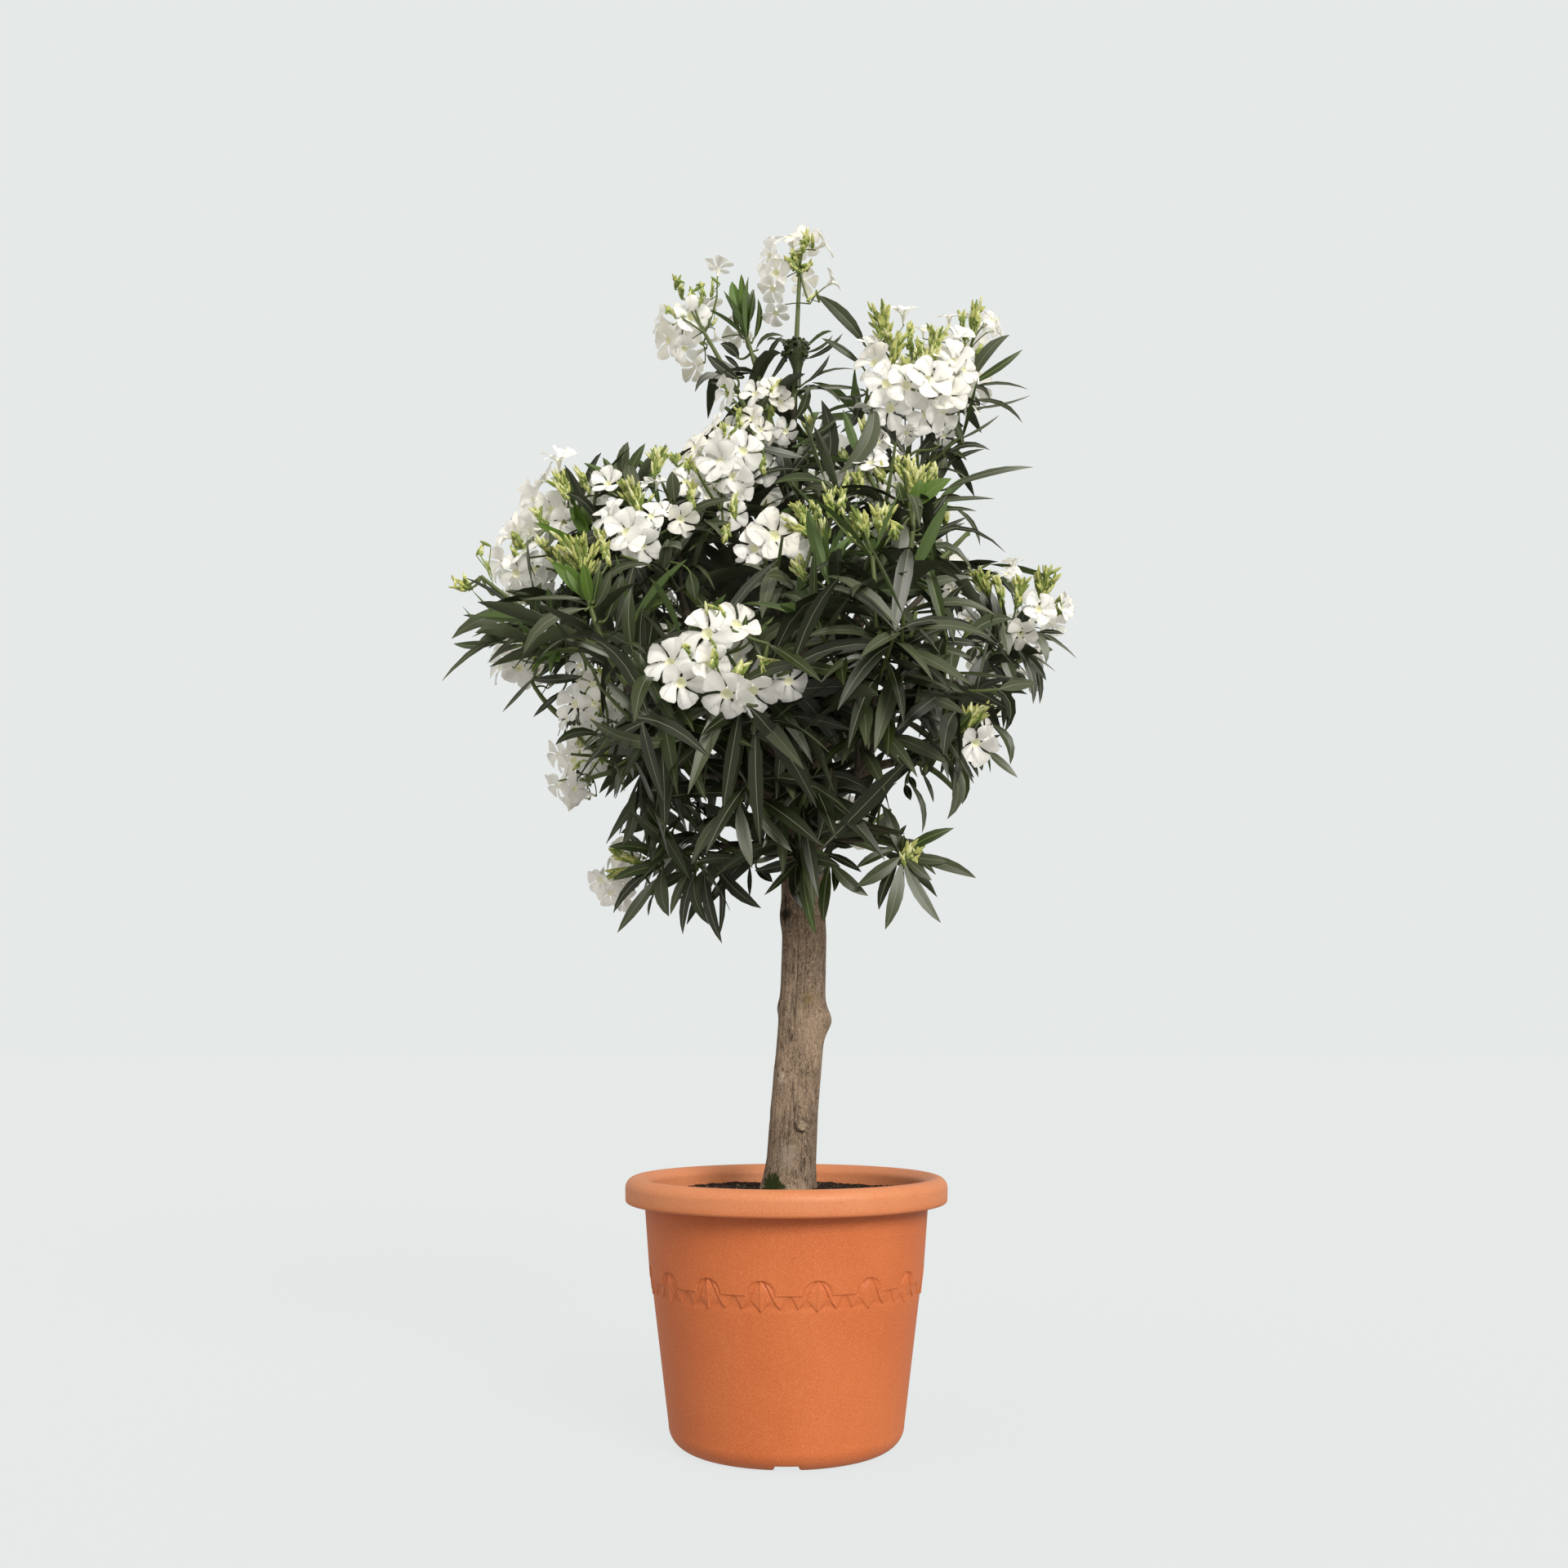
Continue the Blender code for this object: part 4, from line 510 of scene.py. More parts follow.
# Brushes of buds: foot across and down, crown across and down, width, depth, buds.
BRUSH_UNITS = (1, 1, 1, 1, 1, 1000, 1)
BRUSHES_AT = {
    "top": (
        (977, 332, 962, 316, 14, -10, 7), (978, 326, 968, 302, 14, 0, 7), (982, 312, 989, 280, 15, -10, 9),
        (980, 332, 997, 320, 14, 0, 8), (984, 306, 996, 286, 4, 10, 2), (992, 372, 1003, 348, 4, -10, 2),
        (838, 366, 825, 338, 12, 0, 8), (846, 364, 847, 350, 12, 0, 6), (860, 380, 858, 344, 11, 0, 6),
        (836, 390, 812, 372, 7, -10, 4), (878, 362, 869, 333, 3, 0, 2),
    ),
    "centre_left": (
        (940, 520, 954, 466, 18, -60, 16), (893, 482, 890, 464, 12, -50, 6), (930, 548, 925, 522, 18, -60, 10),
        (888, 545, 894, 520, 24, -70, 16), (852, 585, 850, 562, 26, -50, 16), (905, 518, 903, 498, 14, -60, 8),
        (898, 630, 900, 602, 18, -90, 12), (888, 656, 890, 640, 16, -90, 10), (935, 572, 930, 558, 14, -70, 8),
    ),
    "left_upper": (
        (780, 628, 774, 592, 52, -120, 44), (802, 584, 808, 548, 36, -80, 26),
        (836, 578, 842, 560, 16, -60, 10), (736, 668, 736, 644, 24, -150, 16),
        (846, 626, 848, 588, 22, -100, 20),
    ),
    "left_top": (
        (696, 612, 682, 578, 38, -10, 30), (722, 604, 706, 570, 20, 0, 12), (668, 644, 650, 620, 22, -30, 14),
        (642, 668, 626, 650, 14, -10, 8), (636, 684, 624, 668, 10, -10, 5), (676, 676, 658, 658, 22, -40, 14),
    ),
    "front_left": (
        (712, 696, 704, 658, 64, -190, 54), (745, 690, 740, 662, 14, -180, 8),
    ),
    "left": (
        (642, 676, 624, 650, 12, 0, 6), (573, 721, 547, 703, 8, -30, 5), (576, 720, 566, 700, 6, -30, 4),
        (565, 720, 546, 719, 5, -30, 3), (606, 728, 588, 661, 4, -20, 3),
    ),
    "left_far": (
        (656, 818, 658, 794, 10, 50, 5),
    ),
    "left_low": (
        (735, 928, 752, 904, 9, -50, 4), (745, 832, 728, 818, 22, -60, 12), (712, 912, 708, 894, 12, -50, 6),
        (715, 935, 700, 942, 8, -50, 3), (735, 868, 745, 852, 10, -70, 4),
    ),
    "low_left": (
        (786, 1058, 750, 1042, 30, -60, 26), (782, 1066, 746, 1068, 28, -60, 20),
    ),
    "low_right": (
        (1108, 1050, 1114, 1032, 22, -100, 10), (1116, 1054, 1128, 1036, 18, -100, 10),
        (1106, 1056, 1104, 1044, 12, -110, 6), (1120, 1058, 1122, 1046, 14, -110, 7),
    ),
    "centre": (
        (876, 760, 861, 731, 4, -290, 2), (880, 762, 882, 738, 4, -290, 2), (842, 802, 832, 782, 14, -280, 8),
        (876, 812, 872, 784, 14, -300, 10), (902, 828, 908, 806, 14, -300, 6),
        (908, 822, 922, 808, 6, -300, 2), (935, 815, 930, 802, 10, -290, 5), (938, 812, 956, 808, 8, -290, 4),
        (903, 842, 901, 826, 18, -300, 12), (855, 826, 846, 822, 9, -280, 4),
    ),
    "centre_front": (
        (992, 655, 962, 640, 30, -140, 24), (985, 640, 974, 612, 26, -130, 20),
        (1002, 640, 1000, 618, 18, -130, 10),
    ),
    "column": (
        (1018, 632, 1012, 596, 26, -240, 18), (1030, 626, 1032, 598, 14, -230, 8),
        (1000, 632, 992, 608, 12, -220, 7), (1058, 650, 1044, 624, 38, -240, 20),
        (1078, 652, 1072, 618, 26, -240, 18), (1095, 650, 1092, 632, 14, -240, 8),
    ),
    "right_upper": (
        (1120, 612, 1118, 570, 50, -120, 44), (1062, 552, 1060, 514, 28, -80, 24),
        (1054, 606, 1050, 574, 28, -100, 20), (1032, 606, 1040, 578, 20, -100, 12),
        (1100, 575, 1098, 558, 16, -80, 10), (1145, 590, 1142, 566, 16, -120, 10),
    ),
    "top_right": (
        (1084, 430, 1078, 374, 48, -50, 44), (1092, 446, 1098, 408, 38, -70, 36),
        (1108, 462, 1108, 434, 32, -90, 24), (1116, 430, 1114, 394, 16, -60, 12),
        (1138, 450, 1150, 402, 34, -70, 36), (1130, 444, 1124, 412, 18, -70, 12),
        (1182, 424, 1176, 380, 16, 20, 11), (1192, 414, 1197, 368, 32, 20, 26),
        (1198, 432, 1203, 420, 10, 10, 6),
    ),
    "right_out": (
        (1212, 732, 1196, 698, 42, -10, 34), (1228, 744, 1220, 704, 24, -20, 18),
        (1244, 746, 1254, 706, 30, -10, 24), (1276, 736, 1280, 698, 44, -10, 32),
        (1296, 744, 1300, 728, 12, 0, 6),
    ),
    "right_low": (
        (1178, 896, 1204, 862, 40, -100, 36), (1165, 902, 1190, 884, 20, -100, 14),
    ),
}


# ---------------------------------------------------------------- small helpers
def rng(*key):
    """Random numbers that are the same each run."""
    return np.random.default_rng(list(key))


def unit(vectors):
    """Each vector at length one."""
    vectors = np.asarray(vectors, float)
    return vectors / np.maximum(np.linalg.norm(vectors, axis=-1, keepdims=True), 1e-12)


def smooth_step(low, high, value):
    """0 below low, 1 above high, and an even S between them."""
    share = np.clip((value - low) / (high - low), 0.0, 1.0)
    return share * share * (3.0 - 2.0 * share)


def turns(count):
    """So many even turns round a circle."""
    return np.arange(count) * 2 * math.pi / count


def turned_from(turn, degrees):
    """How far each turn is from one in degrees, the short way round."""
    return (turn - math.radians(degrees) + math.pi) % (2 * math.pi) - math.pi


def level_points(radius, turn, height, centre=0.0):
    """Points at a radius and turn from an upright line, at a height."""
    return np.stack([centre + radius * np.cos(turn), radius * np.sin(turn), height + 0 * turn], axis=-1)


def ripple(points, pitch, seed, waves=14):
    """A smooth uneven height: the mean of plane waves of about one pitch, in seeded directions."""
    random = rng(SEED, seed)
    directions = unit(random.normal(size=(waves, 3)))
    rates = 2 * math.pi / pitch * random.uniform(0.6, 1.6, waves)
    phases = random.uniform(0, 2 * math.pi, waves)
    return np.sin(points @ (directions * rates[:, None]).T + phases).sum(axis=-1) / math.sqrt(waves)


def curve(start, middle, end, count):
    """Points on the curves that leave each start towards its middle and arrive at its end from there."""
    start, middle, end = (np.asarray(point)[..., None, :] for point in (start, middle, end))
    t = np.linspace(0.0, 1.0, count)[:, None]
    return (1 - t) ** 2 * start + 2 * t * (1 - t) * middle + t**2 * end


def length_of(lines):
    """The length of each line of points."""
    return np.linalg.norm(np.diff(lines, axis=-2), axis=-1).sum(axis=-1)


def point_at(path, share):
    """The point at a share of the path's length, and the direction there."""
    steps = np.linalg.norm(np.diff(path, axis=0), axis=1)
    along = np.concatenate([[0.0], np.cumsum(steps)]) / steps.sum()
    point = np.array([np.interp(share, along, path[:, k]) for k in range(3)])
    row = max(min(int(np.searchsorted(along, share, side="right")), len(path) - 1), 1)
    return point, unit(path[row] - path[row - 1])


def level_with(vectors, tangents):
    """The part of each vector that is square to its tangent, at length one."""
    return unit(vectors - (vectors * tangents).sum(-1, keepdims=True) * tangents)


def frames(paths):
    """Along each path, two directions square to it, kept from turning round it."""
    tangents = unit(np.gradient(paths, axis=-2))
    chord = unit(paths[..., -1, :] - paths[..., 0, :])
    side = level_with(unit(np.cross(chord, UP + 0.013))[..., None, :], tangents)
    return side, np.cross(tangents, side)


def square_to(way, nudge=0.013):
    """Two directions square to a way and to each other."""
    across = unit(np.cross(way, UP + nudge))
    return across, np.cross(way, across)


def spun(turn, across, other):
    """The directions at turns from across towards other."""
    return np.cos(turn)[..., None] * across + np.sin(turn)[..., None] * other


def rolled(angle, side, top):
    """A side and a top direction, both rolled by an angle."""
    cosine, sine = np.cos(angle)[..., None], np.sin(angle)[..., None]
    return cosine * side + sine * top, cosine * top - sine * side


def nearest(points, ends, cost=0.0):
    """The end that is nearest to each point, with a cost on top of the distance."""
    return ends[np.argmin(np.linalg.norm(points[:, None] - ends, axis=2) + cost, axis=1)]


def ring_faces(rings, sides):
    """Faces between rings of points that follow each other, and the two end caps."""
    low = np.arange(rings - 1)[:, None] * sides
    k = np.arange(sides)[None]
    nxt = (k + 1) % sides
    quads = np.stack([low + k, low + nxt, low + sides + nxt, low + sides + k], axis=-1).reshape(-1, 4)
    caps = np.stack([np.arange(sides)[::-1], (rings - 1) * sides + np.arange(sides)])
    return quads, caps


def fan(middle, ring, sides, downwards=False):
    """Triangles from one point to a ring of points."""
    k = np.arange(sides)
    ends = (ring + k, ring + (k + 1) % sides)
    return np.column_stack([0 * k + middle, *(ends[::-1] if downwards else ends)])


class Heap:
    """Blocks of points and faces that become one mesh. Each face has the number of its finish."""

    def __init__(self):
        self.points, self.blocks, self.count, self.depths = [], [], 0, []

    def add(self, points, faces, finish=None, depth=None):
        """Adds points, the faces that join them, and one finish a block, or one for each face."""
        flat = np.asarray(points, float).reshape(-1, 3)
        self.points.append(flat)
        self.depths.append(np.zeros(len(flat)) if depth is None else depth.reshape(-1))
        for block, number in zip(faces, finish or (0,) * len(faces)):
            self.blocks.append((block + self.count, np.broadcast_to(number, len(block))))
        self.count += len(flat)

    def add_copies(self, points, finish, cap_finish):
        """Adds many alike closed tubes: points is (copies, rings, sides, 3), finish (copies, strips)."""
        copies, rings, sides = points.shape[:3]
        if copies == 0:
            return
        quads, caps = ring_faces(rings, sides)
        shift = (np.arange(copies) * rings * sides)[:, None, None]
        all_quads = (quads[None] + shift).reshape(-1, 4)
        all_caps = (caps[None] + shift).reshape(-1, sides)
        self.add(points, (all_quads, all_caps), (finish.reshape(-1), np.repeat(cap_finish, 2)))

    def make(self, name, finishes, slot, nodes=(), sharp=45.0, with_depth=False):
        """The mesh object of all blocks. It rides on the body and stands for the nodes."""
        points = np.concatenate(self.points)
        corners = np.concatenate([block.ravel() for block, _ in self.blocks])
        sizes = np.concatenate([np.full(len(block), block.shape[1]) for block, _ in self.blocks])
        used, numbers = np.unique(np.concatenate([number for _, number in self.blocks]), return_inverse=True)
        mesh = bpy.data.meshes.new(name)
        mesh.vertices.add(len(points))
        mesh.vertices.foreach_set("co", points.astype(np.float32).ravel())
        mesh.loops.add(len(corners))
        mesh.loops.foreach_set("vertex_index", corners.astype(np.int32))
        mesh.polygons.add(len(sizes))
        mesh.polygons.foreach_set("loop_start", (np.cumsum(sizes) - sizes).astype(np.int32))
        mesh.polygons.foreach_set("material_index", numbers.astype(np.int32))
        mesh.polygons.foreach_set("use_smooth", np.ones(len(sizes), bool))
        for number in used:
            mesh.materials.append(finishes[int(number)])
        mesh.update(calc_edges=True)
        mesh.validate()
        mesh.set_sharp_from_angle(angle=math.radians(sharp))
        if with_depth:
            layer = mesh.attributes.new("depth", "FLOAT", "POINT")
            layer.data.foreach_set("value", np.concatenate(self.depths).astype(np.float32))
        piece = bpy.data.objects.new(name, mesh)
        bpy.context.scene.collection.objects.link(piece)
        if nodes:
            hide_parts(*nodes)
        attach(piece, "root")


def add_tubes(heap, paths, radii, sides, finish):
    """Closed tubes: rings of each radius square to each path. finish is one a tube, or one a ring gap."""
    copies, rings = radii.shape
    if copies == 0:
        return
    side, other = frames(paths)
    around = spun(turns(sides), side[..., None, :], other[..., None, :])
    points = paths[..., None, :] + radii[..., None, None] * around
    if finish.ndim < 2:
        finish = np.broadcast_to(finish.reshape(-1, 1), (copies, rings - 1))
    heap.add_copies(points, np.repeat(finish, sides, axis=1), finish[:, 0])


def add_stalks(heap, lines, thick, thin, sides, tone):
    """Tubes of one tone that taper evenly from one radius to another."""
    copies, rings = lines.shape[:2]
    radii = np.broadcast_to(np.linspace(thick, thin, rings), (copies, rings))
    add_tubes(heap, lines, radii, sides, np.full(copies, tone))


def add_lumps(heap, centres, sizes, random, finish):
    """Small uneven lumps: three rings of five points between two poles, each point pushed in or out."""
    lean = np.radians([128.0, 90.0, 52.0])[:, None]
    ring = level_points(np.sin(lean), turns(5), np.cos(lean))
    push = random.uniform(0.65, 1.25, (len(centres), 3, 5, 1)) * sizes[:, None, None, None]
    stretch = random.uniform(0.7, 1.4, (len(centres), 1, 1, 3)) * np.array([1, 1, 0.75])
    points = centres[:, None, None, :] + ring[None] * push * stretch
    heap.add_copies(points, np.repeat(finish[:, None], 10, axis=1), finish)


# ---------------------------------------------------------------- finishes
def sign(operation, reflected=False):
    """The method for one sign in a sum, with the wire on its left, or reflected, on its right."""

    def apply(self, other):
        pair = (other, self) if reflected else (self, other)
        return self.finish.node("ShaderNodeMath", {"operation": operation}, dict(enumerate(pair)))

    return apply


class Wire:
    """A socket that is used in sums: an expression on it adds its Math nodes."""

    def __init__(self, finish, socket):
        self.finish, self.socket = finish, socket

    __add__, __radd__ = sign("ADD"), sign("ADD", True)
    __sub__, __rsub__ = sign("SUBTRACT"), sign("SUBTRACT", True)
    __mul__, __rmul__ = sign("MULTIPLY"), sign("MULTIPLY", True)

    def between(self, low, high):
        """0 at low or less, 1 at high or more, and an even S between them."""
        settings = {"interpolation_type": "SMOOTHSTEP"}
        return self.finish.node("ShaderNodeMapRange", settings, {"Value": self, "From Min": low, "From Max": high})


class Finish:
    """A material in the making, with its Principled shader."""

    def __init__(self, name, colour, roughness, specular=0.5):
        self.material = bpy.data.materials.new(name)
        self.material.use_nodes = True
        self.material.diffuse_color = (*colour, 1.0)
        self.tree = self.material.node_tree
        self.shader = self.tree.nodes["Principled BSDF"]
        self.set("Base Color", (*colour, 1.0))
        self.set("Roughness", roughness)
        self.set("Specular IOR Level", specular)

    def node(self, kind, settings, values, out=0):
        """Adds a node: its settings first, then the values or wires of its sockets. Gives one output."""
        made = self.tree.nodes.new(kind)
        for key, value in settings.items():
            setattr(made, key, value)
        for key, value in values.items():
            self.feed(made.inputs[key], value)
        return Wire(self, made.outputs[out])

    def feed(self, socket, value):
        """Links a wire to a socket, or sets its value."""
        if isinstance(value, Wire):
            self.tree.links.new(value.socket, socket)
        else:
            socket.default_value = value

    def set(self, socket, value):
        """Feeds one of the shader's own sockets."""
        self.feed(self.shader.inputs[socket], value)

    def place(self, stretch=(1.0, 1.0, 1.0)):
        """Object coordinates, stretched."""
        place = self.node("ShaderNodeTexCoord", {}, {}, out=3)
        return self.node("ShaderNodeMapping", {}, {"Vector": place, "Scale": stretch})

    def noise(self, place, scale, detail=3.0, roughness=0.55, swirl=0.0):
        """Soft noise from 0 to 1 about 0.5, at so many spots a metre."""
        values = {"Vector": place, "Scale": scale, "Detail": detail, "Roughness": roughness, "Distortion": swirl}
        return self.node("ShaderNodeTexNoise", {}, values)

    def distance(self, place, centre):
        """How far a place is from a centre."""
        return self.node("ShaderNodeVectorMath", {"operation": "DISTANCE"}, {0: place, 1: centre}, out=1)

    def ramp(self, factor, *stops):
        """A colour from a ramp of places and colours."""
        found = self.node("ShaderNodeValToRGB", {}, {"Fac": factor})
        elements = found.socket.node.color_ramp.elements
        while len(elements) < len(stops):
            elements.new(0.5)
        for element, (place, colour) in zip(elements, stops):
            element.position, element.color = place, (*colour, 1.0)
        return found

    def mix(self, factor, first, second):
        """One colour mixed into another."""
        return self.node("ShaderNodeMix", {"data_type": "RGBA"}, {0: factor, 6: first, 7: (*second, 1.0)}, out=2)

    def bump(self, height, strength, distance):
        """Feeds a height to the shader's normal."""
        values = {"Height": height, "Strength": strength, "Distance": distance}
        self.set("Normal", self.node("ShaderNodeBump", {}, values))


def pot_finish():
    """Moulded terracotta-coloured plastic: even orange, a fine pale and dark speckle, a dull skin, and a painted
    highlight that makes the rim paler.
    """
    made = Finish("moulded_terracotta", (0.62, 0.160, 0.048), 0.5, specular=0.42)
    place = made.place()
    cloud = made.noise(place, 9.0, 3.0)
    colour = made.ramp(cloud, (0.30, (0.600, 0.142, 0.038)), (0.70, (0.655, 0.172, 0.052)))
    grain = made.noise(place, 760.0, 2.0, 0.7)
    # painted highlight: the pot above about 0.28 m, the rim most, is mixed towards a paler orange
    rim = made.node("ShaderNodeSeparateXYZ", {}, {0: place}, out=2).between(0.278, 0.300)
    colour = made.mix(rim * (0.35 + cloud * 0.5), colour, (0.760, 0.330, 0.160))
    colour = made.mix(grain.between(0.52, 0.70) * 0.42, colour, (0.84, 0.36, 0.16))
    colour = made.mix((1 - grain).between(0.52, 0.70) * 0.42, colour, (0.36, 0.085, 0.028))
    made.set("Base Color", colour)
    made.set("Roughness", 0.44 + cloud * 0.12)
    made.bump(grain * 0.6 + made.noise(place, 1100.0, 1.0) * 0.4, 0.35, 0.0004)
    return made.material


def soil_finish(name, dark, light):
    """Damp peat: dark brown crumb mixed with lighter fibre."""
    made = Finish(name, dark, 0.95, specular=0.2)
    crumb = made.noise(made.place(), 320.0, 4.0, 0.7)
    made.set("Base Color", made.ramp(crumb, (0.35, dark), (0.72, light)))
    made.bump(crumb, 0.8, 0.003)
    return made.material


def bark_finish(name, pale, dark, marks=()):
    """Bark: pale grey-beige plates, dark lengthwise fissures, ragged round marks such as moss, scars and a painted
    shade in a hollow, and painted shade: near black where the depth attribute says a fissure or pit is deep.
    """
    made = Finish(name, pale, 0.85, specular=0.25)

    def grain(stretch, *values):
        return made.noise(made.place((1.0, 1.0, stretch)), *values)

    def shade(colour, by):
        return tuple(by * c for c in colour)

    depth = made.node("ShaderNodeAttribute", {"attribute_name": "depth"}, {}, out=2)
    streaks = grain(0.24, 300.0, 4.0, 0.68, 0.9)
    fine = grain(0.40, 700.0, 2.0, 0.7, 0.6)
    broad = grain(0.45, 26.0, 4.0, 0.65)
    light = shade(pale, 1.55)
    colour = made.ramp(streaks, (0.37, dark), (0.47, pale), (0.54, pale), (0.66, light))
    colour = made.mix(broad.between(0.48, 0.66) * 0.55, colour, shade(light, 1.25))
    colour = made.mix((1 - broad).between(0.50, 0.68) * 0.50, colour, shade(pale, 0.60))
    colour = made.mix(fine.between(0.53, 0.62) * 0.70, colour, dark)
    colour = made.mix(grain(0.55, 520.0, 2.0, 0.6).between(0.56, 0.64) * 0.45, colour, shade(light, 1.5))
    for centre, inner, outer, share, tint in marks:
        ragged = grain(1.0, 2.4 / outer, 3.0, 0.7)
        near = made.distance(made.place(), centre) + (ragged - 0.5) * (2.2 * outer)
        colour = made.mix((1 - near.between(inner, outer)) * share, colour, tint)
    # painted shade: where the depth attribute says a point lies deep in a fissure or pit, the colour is mixed
    # towards near black
    made.set("Base Color", made.mix(depth.between(0.15, 1.0) * 0.85, colour, shade(dark, 0.22)))
    made.bump(streaks * 0.75 + fine * 0.25, 1.0, 0.0028)
    return made.material


# Plain tones of the crown. Each spray of leaves takes one tone, and its flowers and buds another.
TONES = (
    ("leaf_dark", (0.013, 0.019, 0.004), 0.38), ("leaf_mid", (0.025, 0.040, 0.006), 0.38),
    ("leaf_grey", (0.058, 0.073, 0.032), 0.40), ("leaf_young", (0.036, 0.060, 0.010), 0.42),
    ("leaf_bright", (0.075, 0.150, 0.008), 0.48), ("rib_pale", (0.150, 0.160, 0.105), 0.50),
    ("rib_young", (0.150, 0.220, 0.055), 0.50), ("under_grey", (0.047, 0.059, 0.027), 0.60),
    ("under_young", (0.085, 0.140, 0.035), 0.60), ("stem_green", (0.100, 0.135, 0.036), 0.55),
    ("stem_brown", (0.060, 0.050, 0.034), 0.75), ("petal_white", (0.930, 0.922, 0.875), 0.60),
    ("petal_cream", (0.920, 0.900, 0.800), 0.60), ("throat_green", (0.840, 0.840, 0.600), 0.60),
    ("bud_green", (0.500, 0.520, 0.160), 0.55), ("bud_cream", (0.700, 0.720, 0.380), 0.50),
    ("calyx_green", (0.210, 0.280, 0.055), 0.55),
)
(DARK, MID, GREY, YOUNG, BRIGHT, RIB, RIB_YOUNG, UNDER, UNDER_YOUNG, STEM, WOOD, WHITE, CREAM, THROAT, BUD,
 BUD_CREAM, CALYX) = range(len(TONES))


def crown_finishes():
    """The crown's plain tones. Petals let some light through, and also glow with a painted light."""
    made = [Finish(*tone) for tone in TONES]
    for number in (WHITE, CREAM, THROAT):
        made[number].set("Subsurface Weight", 0.60)
        made[number].set("Subsurface Radius", (1.0, 1.0, 0.9))
        made[number].set("Subsurface Scale", 0.0012)
        # painted light: the petals glow by a constant emission, whatever light falls on them
        made[number].set("Emission Color", (1.0, 0.98, 0.90, 1.0))
        made[number].set("Emission Strength", PETAL_PAINTED_GLOW)
    return [finish.material for finish in made]


# ---------------------------------------------------------------- pot and soil
def inner_radius(height):
    """The inside of the pot's wall at a height."""
    share = (height - FOOT_ROUND) / (POT_HEIGHT - RIM_HEIGHT - FOOT_ROUND)
    return FOOT_RADIUS - WALL + share * (NECK_RADIUS - BELT_STEP - FOOT_RADIUS)


def lower_wall(height):
    """The outside of the pot below the belt, carried on upwards."""
    slope = (BELT_RADIUS - BELT_STEP - FOOT_RADIUS) / (BELT_HEIGHT - FOOT_ROUND)
    return FOOT_RADIUS + (height - FOOT_ROUND) * slope


def upper_wall(height):
    """The outside of the pot above the belt, carried on downwards."""
    slope = (NECK_RADIUS + 0.0005 - BELT_RADIUS) / (NECK_HEIGHT - BELT_HEIGHT - BELT_STEP)
    return BELT_RADIUS + (height - BELT_HEIGHT - BELT_STEP) * slope


def arc(centre, radius, first, last, count):
    """Points on an arc in the plane of radius and height, from one angle to another, in degrees."""
    angles = np.radians(np.linspace(first, last, count))
    return np.column_stack([centre[0] + radius * np.cos(angles), centre[1] + radius * np.sin(angles)])


def stretch_of(start, end, count):
    """Evenly spaced points on a straight line, its ends left out."""
    share = np.linspace(0.0, 1.0, count + 2)[1:-1, None]
    return np.asarray(start) * (1 - share) + np.asarray(end) * share


def pot_rows():
    """The pot's profile above the belt, from the floor's middle over the rim, and below it to the foot's."""
    floor_edge = FOOT_RADIUS - FOOT_ROUND
    inner_round = FOOT_ROUND - WALL
    crest = (RIM_RADIUS - RIM_ROUND, POT_HEIGHT - RIM_ROUND)
    rim_low = POT_HEIGHT - RIM_HEIGHT
    lip = inner_radius(0.285) + 0.002
    skirt = RIM_RADIUS - 0.0085
    top = NECK_HEIGHT
    wall = np.linspace(top - 0.006, BAND_TOP + 0.004, 9)
    upper = np.concatenate([
        [(0.0, FLOOR), (floor_edge, FLOOR)],
        arc((floor_edge, FLOOR + inner_round), inner_round, -60, 0, 4),
        [(inner_radius(0.270), 0.270), (inner_radius(0.285), 0.285), (lip, 0.299), (lip + 0.0002, 0.303)],
        arc((lip + 0.0075, 0.3055), 0.0073, 170, 118, 4),
        stretch_of((lip + 0.0041, 0.3120), (crest[0] - 0.003, POT_HEIGHT - 0.0004), 2),
        arc(crest, RIM_ROUND, 97, 0, 16),
        stretch_of((RIM_RADIUS, crest[1]), (RIM_RADIUS - 0.0004, rim_low + 0.005), 3),
        arc((RIM_RADIUS - 0.0044, rim_low + 0.004), 0.0040, 0, -90, 6),
        [(skirt + 0.0008, rim_low + 0.0002), (skirt, rim_low + 0.001), (skirt, top - 0.001), (skirt - 0.001, top)],
        [(NECK_RADIUS + 0.0030, top), (upper_wall(top - 0.002), top - 0.002)],
        np.column_stack([upper_wall(wall), wall]),
    ])
    wall = np.linspace(BAND_LOW - 0.004, FOOT_ROUND + 0.004, 12)
    lower = np.concatenate([
        np.column_stack([lower_wall(wall), wall]),
        arc((floor_edge, FOOT_ROUND), FOOT_ROUND, 0, -90, 14),
        stretch_of((floor_edge, 0.0), (0.104, 0.0), 2),
        np.column_stack([np.linspace(0.104, 0.084, 14), np.zeros(14)]),
        [(0.050, 0.0)],
    ])
    return upper[1:], lower


